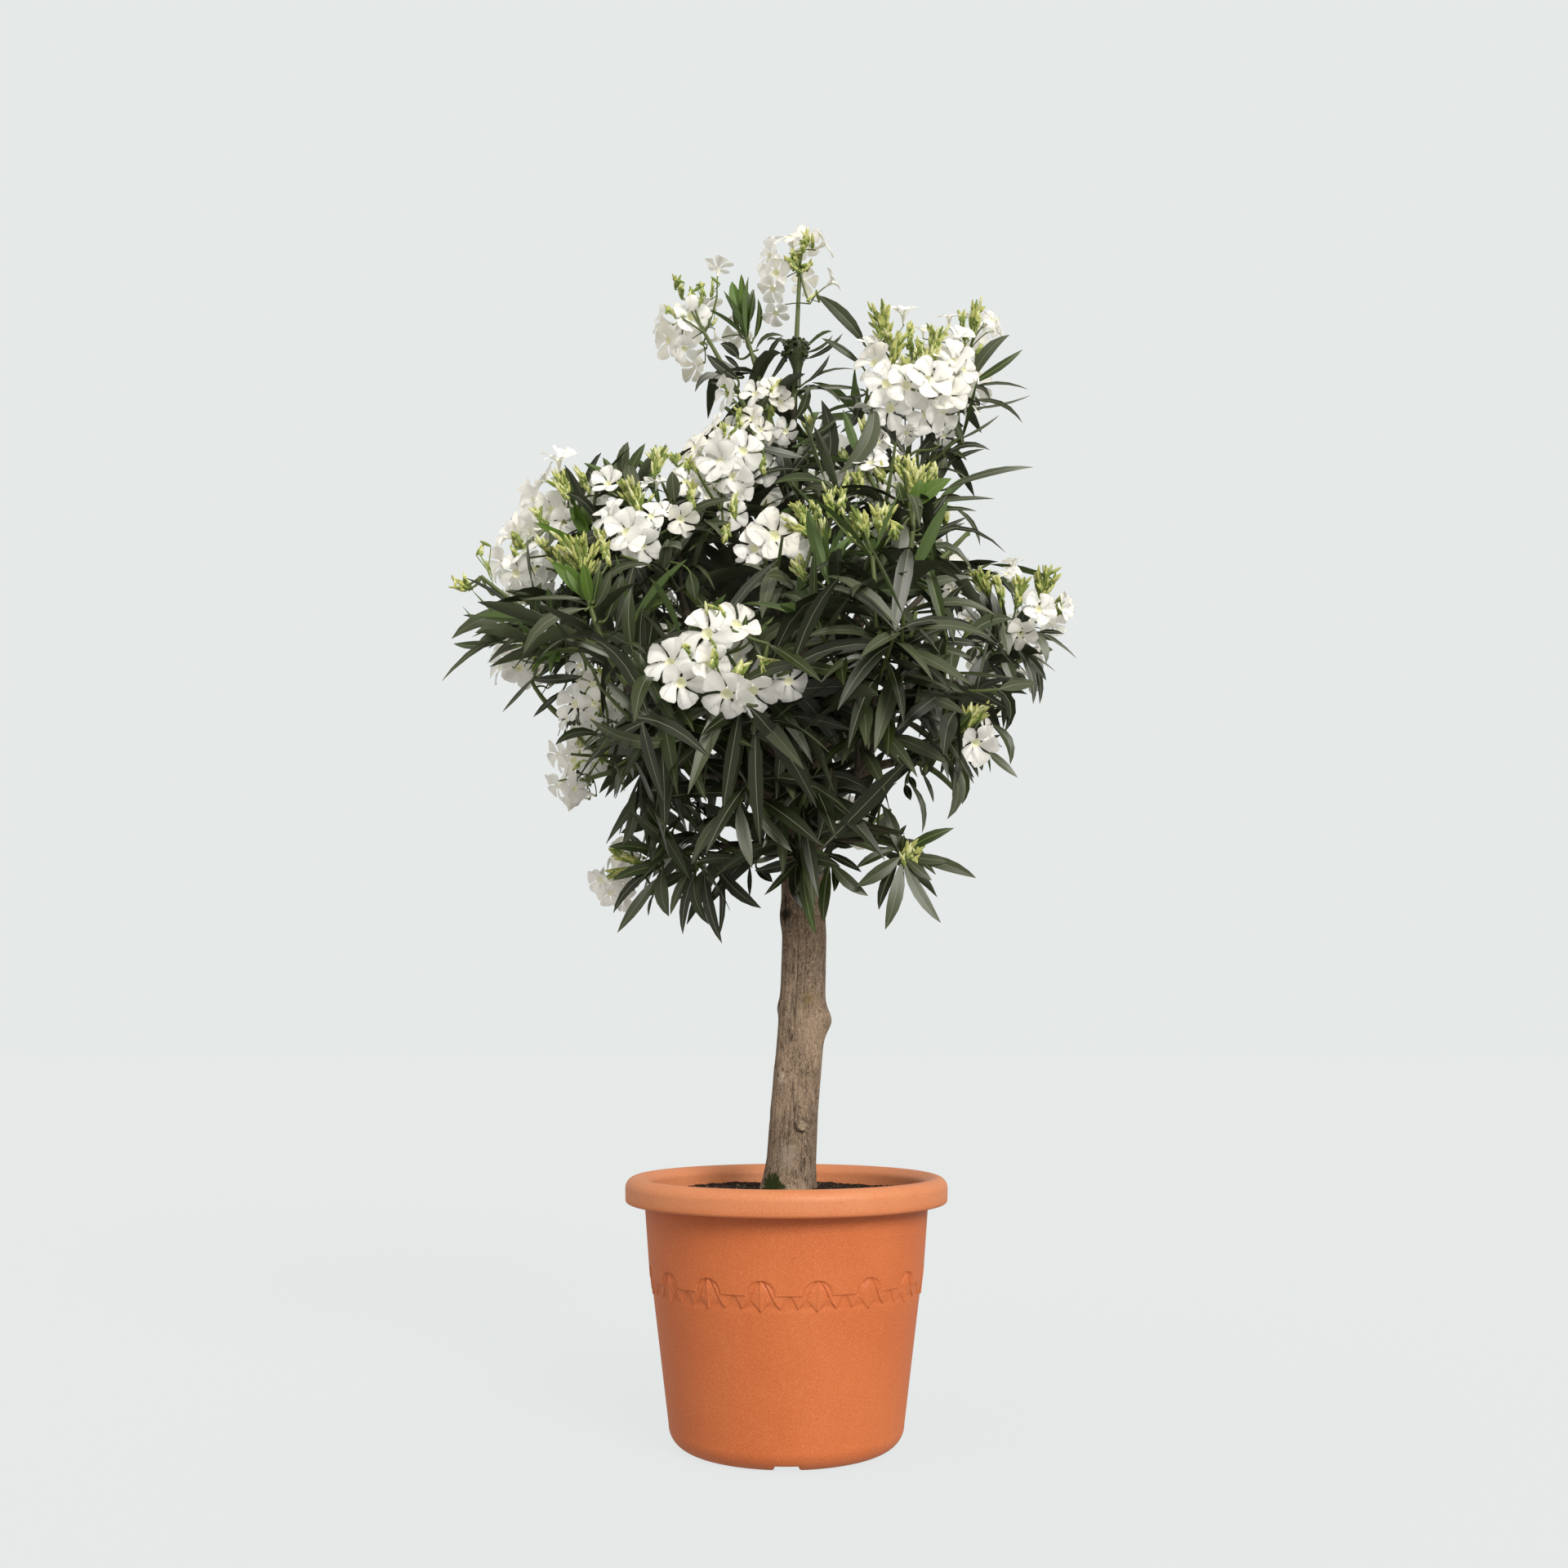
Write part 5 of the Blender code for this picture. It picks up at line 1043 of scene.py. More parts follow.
def relief(across, height):
    """How far the belt stands out at a place across one motif and at a height.

    The upper wall ends in a scalloped edge: a half ellipse over each big leaf, straight between. From
    under the half ellipse hangs a kite with a rib down its middle, nested petals lie at its sides, and
    pointed leaflets hang from the straight edge. Each is a step with soft edges.
    """

    def edge(inside):
        return smooth_step(-0.00035, 0.00035, inside)

    across = np.abs(across)
    drop = height - LEDGE
    low = lower_wall(height) - 0.0007 * smooth_step(-0.020, -0.012, drop)
    arch = 0.0168 * np.sqrt(np.clip(1 - (across / 0.0174) ** 2, 0, 1))
    above = edge(drop - arch)
    tucked = 0.0013 * smooth_step(0.004, 0.016, drop)
    fold = np.interp(drop, (-0.0146, -0.0100, -0.0060, 0.0, 0.0100, 0.0165),
                     (0.0225, 0.0180, 0.0152, 0.0122, 0.0075, 0.0028))
    kite_half = np.interp(drop, (-0.0178, -0.0050, 0.0020, 0.0165), (0.0, 0.0124, 0.0098, 0.0012))
    kite = edge(kite_half - across)
    rib = 0.0009 * np.exp(-(across / 0.0007) ** 2)
    crown = 0.0008 * (1 - np.clip(across / np.maximum(kite_half, 1e-4), 0, 1))
    hung_out = np.interp(drop, (-0.0148, -0.0060, 0.0), (0.0228, 0.0275, 0.0318))
    hung = edge(across - fold) * edge(hung_out - across) * edge(drop + 0.0148)
    slope = 0.0009 * np.clip((across - fold) / 0.010, 0, 1)
    ring = np.hypot(across / 0.0174, np.clip(drop, 0, None) / 0.0168)
    lines = sum(0.0007 * np.exp(-((ring - share) / 0.022) ** 2) * (across > 0.003) * (drop > 0)
                for share in (0.84, 0.92))
    out = 0.0004 * (edge(fold - across) * smooth_step(-0.0120, -0.0080, drop))
    out = np.maximum(out, (0.0021 - slope) * hung) - lines * hung
    out = out * (1 - kite) + (0.0012 + rib + crown) * kite - tucked
    return low + out * (1 - above) + (upper_wall(height) - low) * above


def lift_foot(points):
    """Lifts the foot into each drain notch, and the underside into each drain hole."""
    radius = np.hypot(points[..., 0], points[..., 1])
    quarter = 2 * math.pi / NOTCHES
    off = (np.arctan2(points[..., 1], points[..., 0]) + quarter / 2) % quarter - quarter / 2
    side = np.abs(radius * np.sin(off))
    notch = NOTCH_HEIGHT * smooth_step(NOTCH_WIDTH / 2 + 0.0014, NOTCH_WIDTH / 2 - 0.0014, side)
    notch = notch * (radius > NOTCH_INNER)
    hole = np.hypot(radius * np.cos(off) - DRAIN_AT, side) < DRAIN_RADIUS
    notch = np.where(hole, FLOOR - 0.0008, notch)
    points[..., 2] = np.maximum(points[..., 2], notch)


def make_pot(finish):
    """The pot: its profile turned on a coarse grid, and a belt on a fine grid whose radius is the relief."""
    upper, foot = (level_points(rows[:, :1], turns(COLUMNS), rows[:, 1:]) for rows in pot_rows())
    lift_foot(foot)
    fine_turn = turns(FINE_COLUMNS)
    heights = np.linspace(BAND_TOP, BAND_LOW, BAND_ROWS)[:, None] + 0 * fine_turn
    pitch = 2 * math.pi / MOTIFS
    off = (fine_turn + math.pi / 2 - MOTIF_TURN + pitch / 2) % pitch - pitch / 2
    band = level_points(relief(off[None] * BELT_RADIUS, heights), fine_turn, heights)
    grids = (upper, band, foot)
    points = np.concatenate([[(0.0, 0.0, FLOOR)], *(grid.reshape(-1, 3) for grid in grids), [(0, 0, 0)]])
    starts = np.cumsum([1, *(grid[..., 0].size for grid in grids)])
    faces = [ring_faces(*grid.shape[:2])[0][:, ::-1] + start for grid, start in zip(grids, starts)]
    ratio = FINE_COLUMNS // COLUMNS
    k = np.arange(COLUMNS)
    nxt = (k + 1) % COLUMNS
    fine = (ratio * k[:, None] + np.arange(ratio + 1)[None]) % FINE_COLUMNS
    upper_end, band_end, foot_end = starts[1] - COLUMNS, starts[2] - FINE_COLUMNS, starts[3] - COLUMNS
    faces += [
        np.column_stack([upper_end + nxt, upper_end + k, starts[1] + fine]),
        np.column_stack([starts[2] + k, starts[2] + nxt, band_end + fine[:, ::-1]]),
        fan(0, 1, COLUMNS), fan(starts[3], foot_end, COLUMNS, downwards=True),
    ]
    heap = Heap()
    heap.add(points, faces)
    heap.make("pot_body", [finish], "pot", ("pot",), sharp=48.0)


def soil_height(points, away):
    """The waves of the soil at two pitches, and how far it is heaped up towards the trunk."""
    lift = 0.0009 * ripple(points, 0.060, 1) + 0.0006 * ripple(points, 0.016, 2)
    return lift, 0.0075 * smooth_step(0.150, 0.030, away) - 0.0015


def make_soil(finishes):
    """The soil: a disc of rings whose height is uneven noise, and crumbs, small lumpy solids, on it."""
    rings, sides = SOIL_GRID
    reach = inner_radius(0.292) - 0.0008
    radius = np.linspace(0.0, reach, rings)[1:, None]
    top = level_points(radius, turns(sides), 0 * radius)
    lift, mound = soil_height(top, radius)
    top[..., 2] = SOIL_LEVEL + (lift + 0.0004 * ripple(top, 0.006, 3)) + mound
    low = top[-1:].copy()
    low[..., 2] = SOIL_UNDER
    points = np.concatenate([
        top.reshape(-1, 3), low.reshape(-1, 3), [(0, 0, top[0, :, 2].mean()), (0, 0, SOIL_UNDER)],
    ])
    middle = len(points) - 2
    fans = fan(middle, 0, sides), fan(middle + 1, (rings - 1) * sides, sides, downwards=True)
    heap = Heap()
    heap.add(points, (ring_faces(rings, sides)[0][:, ::-1], *fans))
    random = rng(SEED, 7)
    away = np.sqrt(random.uniform(0.04, 0.985, CRUMBS)) * reach
    centre = level_points(away, random.uniform(0, 2 * math.pi, CRUMBS), 0.0)
    lift, mound = soil_height(centre, away)
    size = 0.0009 * random.lognormal(0.0, 0.40, CRUMBS).clip(0.5, 2.6)
    centre[:, 2] = SOIL_LEVEL + (lift + mound) + size * 0.30
    add_lumps(heap, centre, size, random, random.choice([0, 1, 2], CRUMBS, p=[0.55, 0.33, 0.12]))
    heap.make("soil_surface", finishes, "soil", ("soil",), sharp=80.0)


# ---------------------------------------------------------------- trunk and boughs
def trunk_path():
    """The trunk's middle line and radii."""
    zeros = np.zeros(len(TRUNK_STATIONS))
    return np.column_stack([TRUNK_STATIONS[:, 1], zeros, TRUNK_STATIONS[:, 0]]), TRUNK_STATIONS[:, 2]


def bumps_at(turn, height, table):
    """The sum of soft bumps, each of a size, in turn and height."""
    total = 0.0 * (turn + height)
    for at_height, at_turn, size, half_height, half_turn in table:
        away = turned_from(turn, at_turn)
        total += size * np.exp(-(((height - at_height) / half_height) ** 2) - (away / half_turn) ** 2)
    return total


def ring_bump(away, middle, half):
    """A soft bump round one distance from a middle."""
    return np.exp(-((away - middle) / half) ** 2)


def bark_relief(turn, height, seed):
    """Lengthwise bark: narrow fissures that wander as they rise, between low uneven plates.

    The fissures are where a wave in turn, bent by slower waves in height, passes zero. Returns the
    height of the surface and how deep in a fissure each point is, from 0 to 1.
    """
    phases = rng(SEED, 20 + seed).uniform(0, 2 * math.pi, 12)
    bend = 0.9 * np.sin(7 * height + phases[0]) + 0.6 * np.sin(17 * height + 2 * turn + phases[1])
    cells = np.sin(7 * turn + bend + phases[2]) + 0.7 * np.sin(12 * turn - 1.3 * bend + 5 * height + phases[3])
    narrow = np.sin(19 * turn + 2.1 * bend + phases[4] + 11 * height)
    strength = 0.55 + 0.45 * np.sin(9 * height + 3 * turn + phases[5])
    deep = np.exp(-(cells / 0.16) ** 2) * strength.clip(0.1, 1)
    fine = np.exp(-(narrow / 0.20) ** 2) * (1 - 0.6 * strength.clip(0, 1))
    plates = 0.35 * np.abs(cells).clip(0, 1.3)
    return plates - 0.9 * deep - 0.45 * fine, (deep + 0.5 * fine).clip(0, 1)


def make_trunk(finish):
    """The trunk: level rings whose radius is taper, knots, root flare and bark relief.

    The cut stub is a disc that stands out, with two rings pressed into it and calm bark round it.
    """
    path, radii = trunk_path()
    rows, sides = TRUNK_GRID
    height = np.linspace(SOIL_TOP - 0.005, path[-1, 2] + 0.004, rows)[:, None]
    turn = (turns(sides) - math.pi)[None]
    taper = np.interp(height, path[:, 2], radii)
    flare = 0.0040 * np.exp(-(height - SOIL_TOP) / 0.016) * (0.5 + 0.5 * np.sin(4 * turn + 0.6))
    surface, depth = bark_relief(turn + 0 * height, height + 0 * turn, 0)
    ribs = 0.0011 * np.sin(3 * turn + 5.5 * height + 0.4) + 0.0007 * np.sin(5 * turn - 8 * height)
    from_stub = np.hypot((height - STUB_HEIGHT) / STUB_RADIUS, turned_from(turn, STUB_TURN) * 0.030 / STUB_RADIUS)
    pits = bumps_at(turn, height, TRUNK_PITS)
    pits += 0.55 * ring_bump(from_stub, 1.25, 0.22) + 0.35 * ring_bump(from_stub, 0.30, 0.20)
    disc = 0.0046 * smooth_step(1.05, 0.80, from_stub) - 0.0008 * ring_bump(from_stub, 0.45, 0.12)
    calm = 1 - smooth_step(1.3, 0.9, from_stub)
    knots = bumps_at(turn, height, TRUNK_KNOTS)
    radius = taper + flare + knots + ribs + 0.0010 * surface * calm - 0.0026 * pits + disc
    # this depth darkens the fissures, pits and the stub's rings in the bark's colour: painted shade
    depth = (depth * calm * 0.75 + pits).clip(0, 1)
    centre = np.interp(height, path[:, 2], path[:, 0])
    heap = Heap()
    heap.add(level_points(radius, turn, height, centre), ring_faces(rows, sides), depth=depth)
    heap.make("trunk_bark", [finish], "bark", ("trunk",), sharp=75.0, with_depth=True)


def bough_paths():
    """The middle line and radii of every bough, by name, and the three points that give its curve."""
    found, bends = {"trunk": trunk_path()}, {}
    for name, (parent, share, *sizes) in BOUGHS.items():
        start, along = point_at(found[parent][0], share)
        *tip, thick, thin = np.array(sizes) / 1000
        tip = np.array(tip)
        reach = np.linalg.norm(tip - start)
        middle = start + unit(0.75 * unit(tip - start) + 0.35 * along) * reach * 0.5
        count = 6 if parent == "trunk" else 4
        found[name] = (curve(start, middle, tip, count), np.linspace(thick, thin, count))
        bends[name] = (start, middle, tip)
    return found, bends


def make_boughs(paths, bends, finish):
    """Every bough: rings along its curve, thinner towards the tip, swollen at the foot, with bark relief."""
    heap = Heap()
    for index, (name, points) in enumerate(bends.items()):
        rows, sides = (64, 30) if BOUGHS[name][0] == "trunk" else (44, 22)
        line = curve(*points, rows)
        thick, thin = paths[name][1][[0, -1]]
        share = np.linspace(0, 1, rows)[:, None]
        taper = thick + (thin - thick) * share + 0.0030 * np.exp(-share / 0.06)
        turn = turns(sides)[None]
        surface, depth = bark_relief(turn + 0 * share, share * 0.35 + 0 * turn, index + 1)
        side, other = frames(line)
        around = spun(turn, side[:, None], other[:, None])
        radius = taper + 0.0005 * surface
        # the depth darkens the fissures in the bark's colour: painted shade
        heap.add(line[:, None] + radius[..., None] * around, ring_faces(rows, sides), depth=depth * 0.6)
    nodes = tuple("bough_" + name for name in BOUGHS)
    heap.make("boughs_bark", [finish], "bark", nodes, sharp=75.0, with_depth=True)


# ---------------------------------------------------------------- what is seen from the front
def framed(across, down, depth):
    """The place in the room that stands at a place in the frame, given in frame units, at a depth."""
    side, rise = (across - FRAME_MIDDLE) / FRAME_REACH, (FRAME_MIDDLE - down) / FRAME_REACH
    reach = (EYE_DISTANCE + depth) / (math.cos(EYE_TILT) - rise * math.sin(EYE_TILT))
    height = EYE_HEIGHT + reach * (math.sin(EYE_TILT) + rise * math.cos(EYE_TILT))
    return np.stack([EYE_ACROSS + side * reach, depth + 0 * reach, height], axis=-1)


def seen_at(points):
    """Across and height of points in the plane of the trunk, seen from the front."""
    nearer = EYE_DISTANCE / (EYE_DISTANCE + points[..., 1])
    return np.stack([points[..., 0] * nearer, EYE_HEIGHT + (points[..., 2] - EYE_HEIGHT) * nearer], axis=-1)


def seen_inside(points, margin=0.0):
    """True where the points lie in the crown's box and inside its outline, seen from the front."""
    across, height = np.moveaxis(seen_at(points), -1, 0)
    left = np.interp(height, CROWN_OUTLINE[:, 0], CROWN_OUTLINE[:, 1]) + margin
    right = np.interp(height, CROWN_OUTLINE[:, 0], CROWN_OUTLINE[:, 2]) - margin
    floor = np.interp(across, CROWN_FLOOR[:, 0], CROWN_FLOOR[:, 1])
    boxed = ((points > CROWN_LOW) & (points < CROWN_HIGH)).all(axis=-1)
    gap = ((across[..., None] - SKY_GAPS[:, 0]) / SKY_GAPS[:, 2]) ** 2
    gap += ((height[..., None] - SKY_GAPS[:, 1]) / SKY_GAPS[:, 3]) ** 2
    return boxed & (across > left) & (across < right) & (height > floor) & (gap.min(axis=-1) > 1)


def hides(line, kept_free):
    """True for leaves that would cover a told flower or brush, seen from the front."""
    told = kept_free[kept_free[:, 4] > 0]
    middle, points = seen_at(told[:, :3]), seen_at(line)
    apart = np.linalg.norm(points[:, :, None] - middle[None, None], axis=-1)
    before = line[:, :, None, 1] < told[:, 1] + 0.01
    return (before & (apart < 0.85 * told[:, 3])).any(axis=(1, 2))


def told_rows(table, name, units):
    """A mass's rows of a table, each column brought from its own units to frame units and metres."""
    return np.array(table.get(name, ()), dtype=float).reshape(-1, len(units)) / units


# ---------------------------------------------------------------- growth rule of the crown
def mass_foot(name, paths):
    """Where a mass's stem starts and the direction it goes in."""
    source = MASSES[name][0]
    if isinstance(source, str):
        path = paths[source][0]
        return path[-1], unit(path[-1] - path[-2])
    path, height = paths["trunk"][0], source / 1000
    centre = np.array([np.interp(height, path[:, 2], path[:, 0]), 0.0, height])
    turn = math.radians(TRUNK_MASS_TURN[name])
    return centre, unit(np.array([math.cos(turn), math.sin(turn), 0.15]))


def shoot_curve(start, leaving, end, count):
    """A shoot's middle line: it leaves along its stem and turns towards its tip."""
    chord = end - start
    reach = np.linalg.norm(chord)
    bend = 0.30 if end[2] > start[2] else -0.15
    out = unit(0.9 * unit(chord) + 0.6 * leaving - bend * UP)
    return curve(start, start + out * reach * 0.45, end, count)


def side_curve(parent, share, turn, reach, count):
    """A side shoot's middle line: it leaves its parent at a slant, on the side that turn gives."""
    base, along = point_at(parent, share)
    across, other = square_to(along, 0.01)
    out = unit(0.70 * along + 0.80 * (math.cos(turn) * across + math.sin(turn) * other) + 0.15 * UP)
    return curve(base, base + out * reach * 0.5 - UP * 0.006, base + out * reach, count)


def grow(paths):
    """The twigs of every mass: its stem, its named shoots, and side shoots by the seeded rule."""

    def twig_of(path, order, head, size, radii):
        return {"path": path, "order": order, "head": head, "size": size, "radii": radii}

    twigs = {}
    for index, name in enumerate(sorted(MASSES)):
        source, tips = MASSES[name]
        foot, direction = mass_foot(name, paths)
        on_trunk = name in TRUNK_MASS_TURN
        fork = foot + direction * (STEM_LENGTH + (0.030 if on_trunk else 0.0))
        thick = 0.0050 if on_trunk else paths[source][1][-1]
        stem = curve(foot - direction * 0.004, (foot + fork) / 2, fork, 6)
        own = [twig_of(stem, 0, None, 1.0, (thick * 1.02, thick * 0.9))]
        for *tip, head, size in tips:
            path = shoot_curve(fork - direction * 0.004, direction, np.array(tip) / 1000, 14)
            own.append(twig_of(path, 1, head, size, SHOOT_RADII))
        random = rng(SEED, index)
        for twig in own[1:]:
            turn = random.uniform(0, 2 * math.pi)
            top = 0.42 * LEAFY_SHARE.get(twig["head"], 1.0)
            for k in range(SIDE_SHOOTS if name not in SPARSE else 1):
                turn += GOLDEN_TURN
                share = 0.30 + top * (k + random.uniform(0.2, 0.8)) / SIDE_SHOOTS
                reach = SIDE_LENGTH * random.uniform(0.75, 1.25)
                path = side_curve(twig["path"], share, turn, reach, 8)
                if seen_inside(path[3:], 0.012).all():
                    own.append(twig_of(path, 2, "leaf", 0.85, SIDE_RADII))
        twigs[name] = own
    return twigs


def leaf_sites(twig, spacing, random):
    """Foot, direction, width direction, length, youth and tone of each leaf, in whorls of three."""
    path, order = twig["path"], twig["order"]
    low = path[-1][2] < LOW_TIP
    length = length_of(path)
    bare = (BARE_SHARE if order == 1 else 0.30) * length
    leafy = LEAFY_SHARE.get(twig["head"], 1.0) * length
    whorls = max(2, int(round((leafy - bare) / spacing)))
    row = np.arange(whorls + 1)
    reach = np.minimum((bare + (leafy - bare) * row / whorls) / length, 0.99)
    foot, along = (np.array(found) for found in zip(*(point_at(path, share) for share in reach)))
    young = np.exp(-(leafy - bare) * (1 - row / whorls) / 0.040)[:, None]
    across, other = square_to(along)
    turn = random.uniform(0, 2 * math.pi) + row * math.pi / WHORL + random.uniform(-0.2, 0.2, whorls + 1)
    angle = turn[:, None] + turns(WHORL) + random.uniform(-0.28, 0.28, (whorls + 1, WHORL))
    out = spun(angle, across[:, None], other[:, None])
    spread = 80 - (12 if low else 44) * young + random.uniform(-11, 11, angle.shape)
    along = np.broadcast_to(along[:, None], out.shape)
    direction = unit(spun(np.radians(spread), along, out))
    width = unit(np.cross(direction, along + 0.02 * out))
    shrink = (0.08 if low else 0.28) * young
    size = (1.0 - shrink) * random.uniform(0.80, 1.08, angle.shape) * min(1.0, twig["size"] + 0.15)
    youth = np.broadcast_to(young, angle.shape) * (0.35 if low else 1.0)
    base_tone = random.choice([DARK, MID, GREY], p=[0.55, 0.30, 0.15] if low else [0.20, 0.42, 0.38])
    tone = np.where(youth > 0.66, YOUNG, base_tone)
    if twig["head"] in ("leaf", "buds") and order == 1:
        tone = np.where(youth > 0.93, BRIGHT, tone)
    feet = np.broadcast_to(foot[:, None], out.shape)
    keep = random.uniform(size=angle.shape) < 0.92
    return feet[keep], direction[keep], width[keep], LEAF_LENGTH * size[keep], youth[keep], tone[keep]


def tuft_sites(twig, random):
    """The small bright leaves that stand up round a shoot's end."""
    path = twig["path"]
    count = TUFT.get(twig["head"], 0) if twig["order"] == 1 and path[-1][2] > LOW_TIP else 0
    along = unit(path[-1] - path[-2])
    turn = random.uniform(0, 2 * math.pi) + np.arange(count) * GOLDEN_TURN
    lean = np.radians(random.uniform(8, 26, count))
    out = spun(turn, *square_to(along))
    direction = unit(spun(lean, along, out))
    width = unit(np.cross(direction, along + 0.02 * out))
    foot = path[-1] - along * random.uniform(0.0, 0.010, count)[:, None]
    length = LEAF_LENGTH * random.uniform(0.45, 0.72, count)
    return foot, direction, width, length, np.full(count, 1.0), np.full(count, BRIGHT)


def leaf_lines(foot, direction, width, length, droop, bend):
    """Middle lines: out along a direction, hanging over with the square of the way, bent sideways a little."""
    t = LEAF_ALONG[None, :, None]
    line = direction[:, None] * t - UP * droop[:, None, None] * t**2 + width[:, None] * bend[:, None, None] * t**2
    line = line / np.linalg.norm(line[:, -1:], axis=2, keepdims=True)
    return foot[:, None] + line * length[:, None, None]


def add_leaves(heap, sites, kept_free, random, told):
    """Leaves: a closed blade with folded halves, a rib strip along its top and a keel under it.

    A leaf that would reach past the crown's outline is tried once at a smaller size, then left out, and
    so is one that would lie on a flower or over a brush of buds: kept_free has their middles and reach.
    """
    foot, direction, width, length, youth, tone = (np.concatenate(column) for column in zip(*sites))
    count = len(foot)
    hang = np.where(foot[:, 2] < LOW_TIP, 0.46, 0.66)
    droop = (hang * (1 - 0.80 * youth) + random.uniform(-0.26, 0.26, count)).clip(-0.05, 1.0)
    bend = random.uniform(-0.16, 0.16, count)
    best = np.zeros(count)
    for share in (0.78, 1.0):
        line = leaf_lines(foot, direction, width, length * share, droop, bend)
        away = np.linalg.norm(line[:, 3:, None] - kept_free[None, None, :, :3], axis=-1) - kept_free[:, 3]
        fits = seen_inside(line[:, 2:]).all(axis=1) & (away.min(axis=(1, 2)) > 0) & ~hides(line[:, 1:], kept_free)
        best = np.where(fits, share, best)
    foot, direction, width, length, droop, bend, youth, tone = (
        values[best > 0] for values in (foot, direction, width, length * best, droop, bend, youth, tone)
    )
    grown = len(length)
    half = LEAF_HALF * random.uniform(0.84, 1.12, grown) * (length / LEAF_LENGTH) ** 0.6
    line = leaf_lines(foot, direction, width, length, droop, bend)
    line, width, half, tone = (np.concatenate(pair) for pair in zip((line, width, half, tone), told))
    count = len(line)
    youth = np.concatenate([youth, np.full(count - grown, 0.2)])
    tangent = unit(np.gradient(line, axis=1))
    side = level_with(width[:, None], tangent)
    roll = (random.uniform(-0.35, 0.35, count)[:, None] + random.uniform(-0.45, 0.45, count)[:, None] * LEAF_ALONG)
    roll[grown:] *= 0.35
    side, top = rolled(roll, side, np.cross(side, tangent))
    half = half[:, None] * LEAF_WIDE[None]
    fold = (0.24 + 0.26 * youth + random.uniform(-0.08, 0.12, count))[:, None]
    thick = 0.0100 * length_of(line)[:, None] * np.sin(math.pi * (0.12 + 0.80 * LEAF_ALONG)) ** 0.5
    rib = np.minimum(RIB_HALF * (1 - 0.55 * LEAF_ALONG)[None], 0.45 * half)
    wide = np.stack([half, 0 * half, -half, -0.55 * half, -rib, rib, 0.55 * half], axis=-1)
    edge = half * (fold - 0.17)
    middle = 0.55 * half * fold - 0.05 * half
    lift = np.stack([edge, -thick, edge, middle, 0.0002 + 0 * half, 0.0002 + 0 * half, middle], axis=-1)
    points = line[:, :, None] + wide[..., None] * side[:, :, None] + lift[..., None] * top[:, :, None]
    under, ribs = np.where(tone >= YOUNG, [[UNDER_YOUNG], [RIB_YOUNG]], [[UNDER], [RIB]])
    strip = np.stack([under, under, tone, tone, ribs, tone, tone], axis=-1)
    heap.add_copies(points, np.repeat(strip[:, None], len(LEAF_ALONG) - 1, axis=1), tone)


def told_leaves(name, twigs, stems, random):
    """The leaves told one by one: middle line, width direction, half width and tone of each.

    Each starts at the nearest twig of its mass or at its own short stalk from there.
    """
    rows = told_rows(LEAVES_AT, name, LEAF_UNITS)
    foot, tip = framed(rows[:, 0], rows[:, 1], rows[:, 4]), framed(rows[:, 2], rows[:, 3], rows[:, 4] - 0.012)
    chord = tip - foot
    away = unit(np.cross(chord, np.array([0.0, -1.0, 0.0])))
    t = LEAF_ALONG[None, :, None]
    length = np.linalg.norm(chord, axis=1)[:, None, None]
    line = foot[:, None] + chord[:, None] * t + away[:, None] * 4 * rows[:, 6, None, None] * t * (1 - t) * length
    line[..., 1] -= 0.06 * (length * t * (1 - t) * 4)[..., 0]
    twist = random.uniform(-0.35, 0.35, len(rows))
    width = unit(spun(twist, away, np.cross(away, unit(chord))))
    near = np.concatenate([twig["path"] for twig in twigs])
    for at, way in zip(foot, unit(chord)):
        gaps = np.linalg.norm(near - at, axis=1)
        if gaps.min() > 0.004:
            stalk = curve(near[np.argmin(gaps)], at - 0.3 * gaps.min() * way, at + 0.005 * way, 8)
            add_stalks(stems, stalk[None], 0.0020, 0.0012, 6, STEM)
    half = rows[:, 5] * FRAME_UNIT * (EYE_DISTANCE + rows[:, 4]) / EYE_DISTANCE / np.cos(0.6 * twist)
    return line, width, half, rows[:, 7].astype(int)


def head_layout(twig, random):
    """A head: cyme branches on a dome round the shoot's end, flowers on the outer ones, buds on all.

    Gives the branches as foot and end, and the flowers and buds as foot, middle and facing.
    """
    path, size = twig["path"], twig["size"]
    along = unit(0.65 * unit(path[-1] - path[-2]) + 0.45 * UP)
    branches, per_flower, per_bud, widest = HEADS[twig["head"]]
    branches = int(round(branches * size))
    stretch = size ** 0.35
    outward = unit(path[-1] - np.array([0.0, 0.0, path[-1][2] - 0.06]))
    k = np.arange(branches)
    lean = np.radians(6 + (widest - 6) * np.sqrt((k + 0.3) / branches) + random.uniform(-6, 6, branches))
    turn = random.uniform(0, 2 * math.pi) + k * GOLDEN_TURN
    way = unit(spun(lean, along, spun(turn, *square_to(along))))
    brush = lean < np.radians(46)
    reach = np.where(brush, random.uniform(0.040, 0.060, branches), random.uniform(0.018, 0.032, branches))
    foot = path[-1] - along * random.uniform(0.0, 0.014, branches)[:, None]
    end = foot + way * reach[:, None] * stretch
    outer = np.repeat(np.flatnonzero(~brush), per_flower)
    count = len(outer)
    flower_way = unit(way[outer] + random.normal(0, 0.42, (count, 3)) + 0.30 * outward - 0.22 * UP)
    flower_at = end[outer] + flower_way * random.uniform(0.026, 0.040, count)[:, None] * stretch
    facing = unit(0.60 * flower_way + 0.60 * outward + random.normal(0, 0.30, (count, 3)))
    bearing = np.repeat(k, np.where(brush, per_bud + 12, max(per_bud - 4, 1)))
    count = len(bearing)
    bud_way = unit(way[bearing] + 0.55 * UP + random.normal(0, 0.36, (count, 3)))
    bud_at = end[bearing] + bud_way * random.uniform(0.012, 0.034, count)[:, None]
    return (foot, end), (end[outer], flower_at, facing), (end[bearing], bud_at, bud_way)


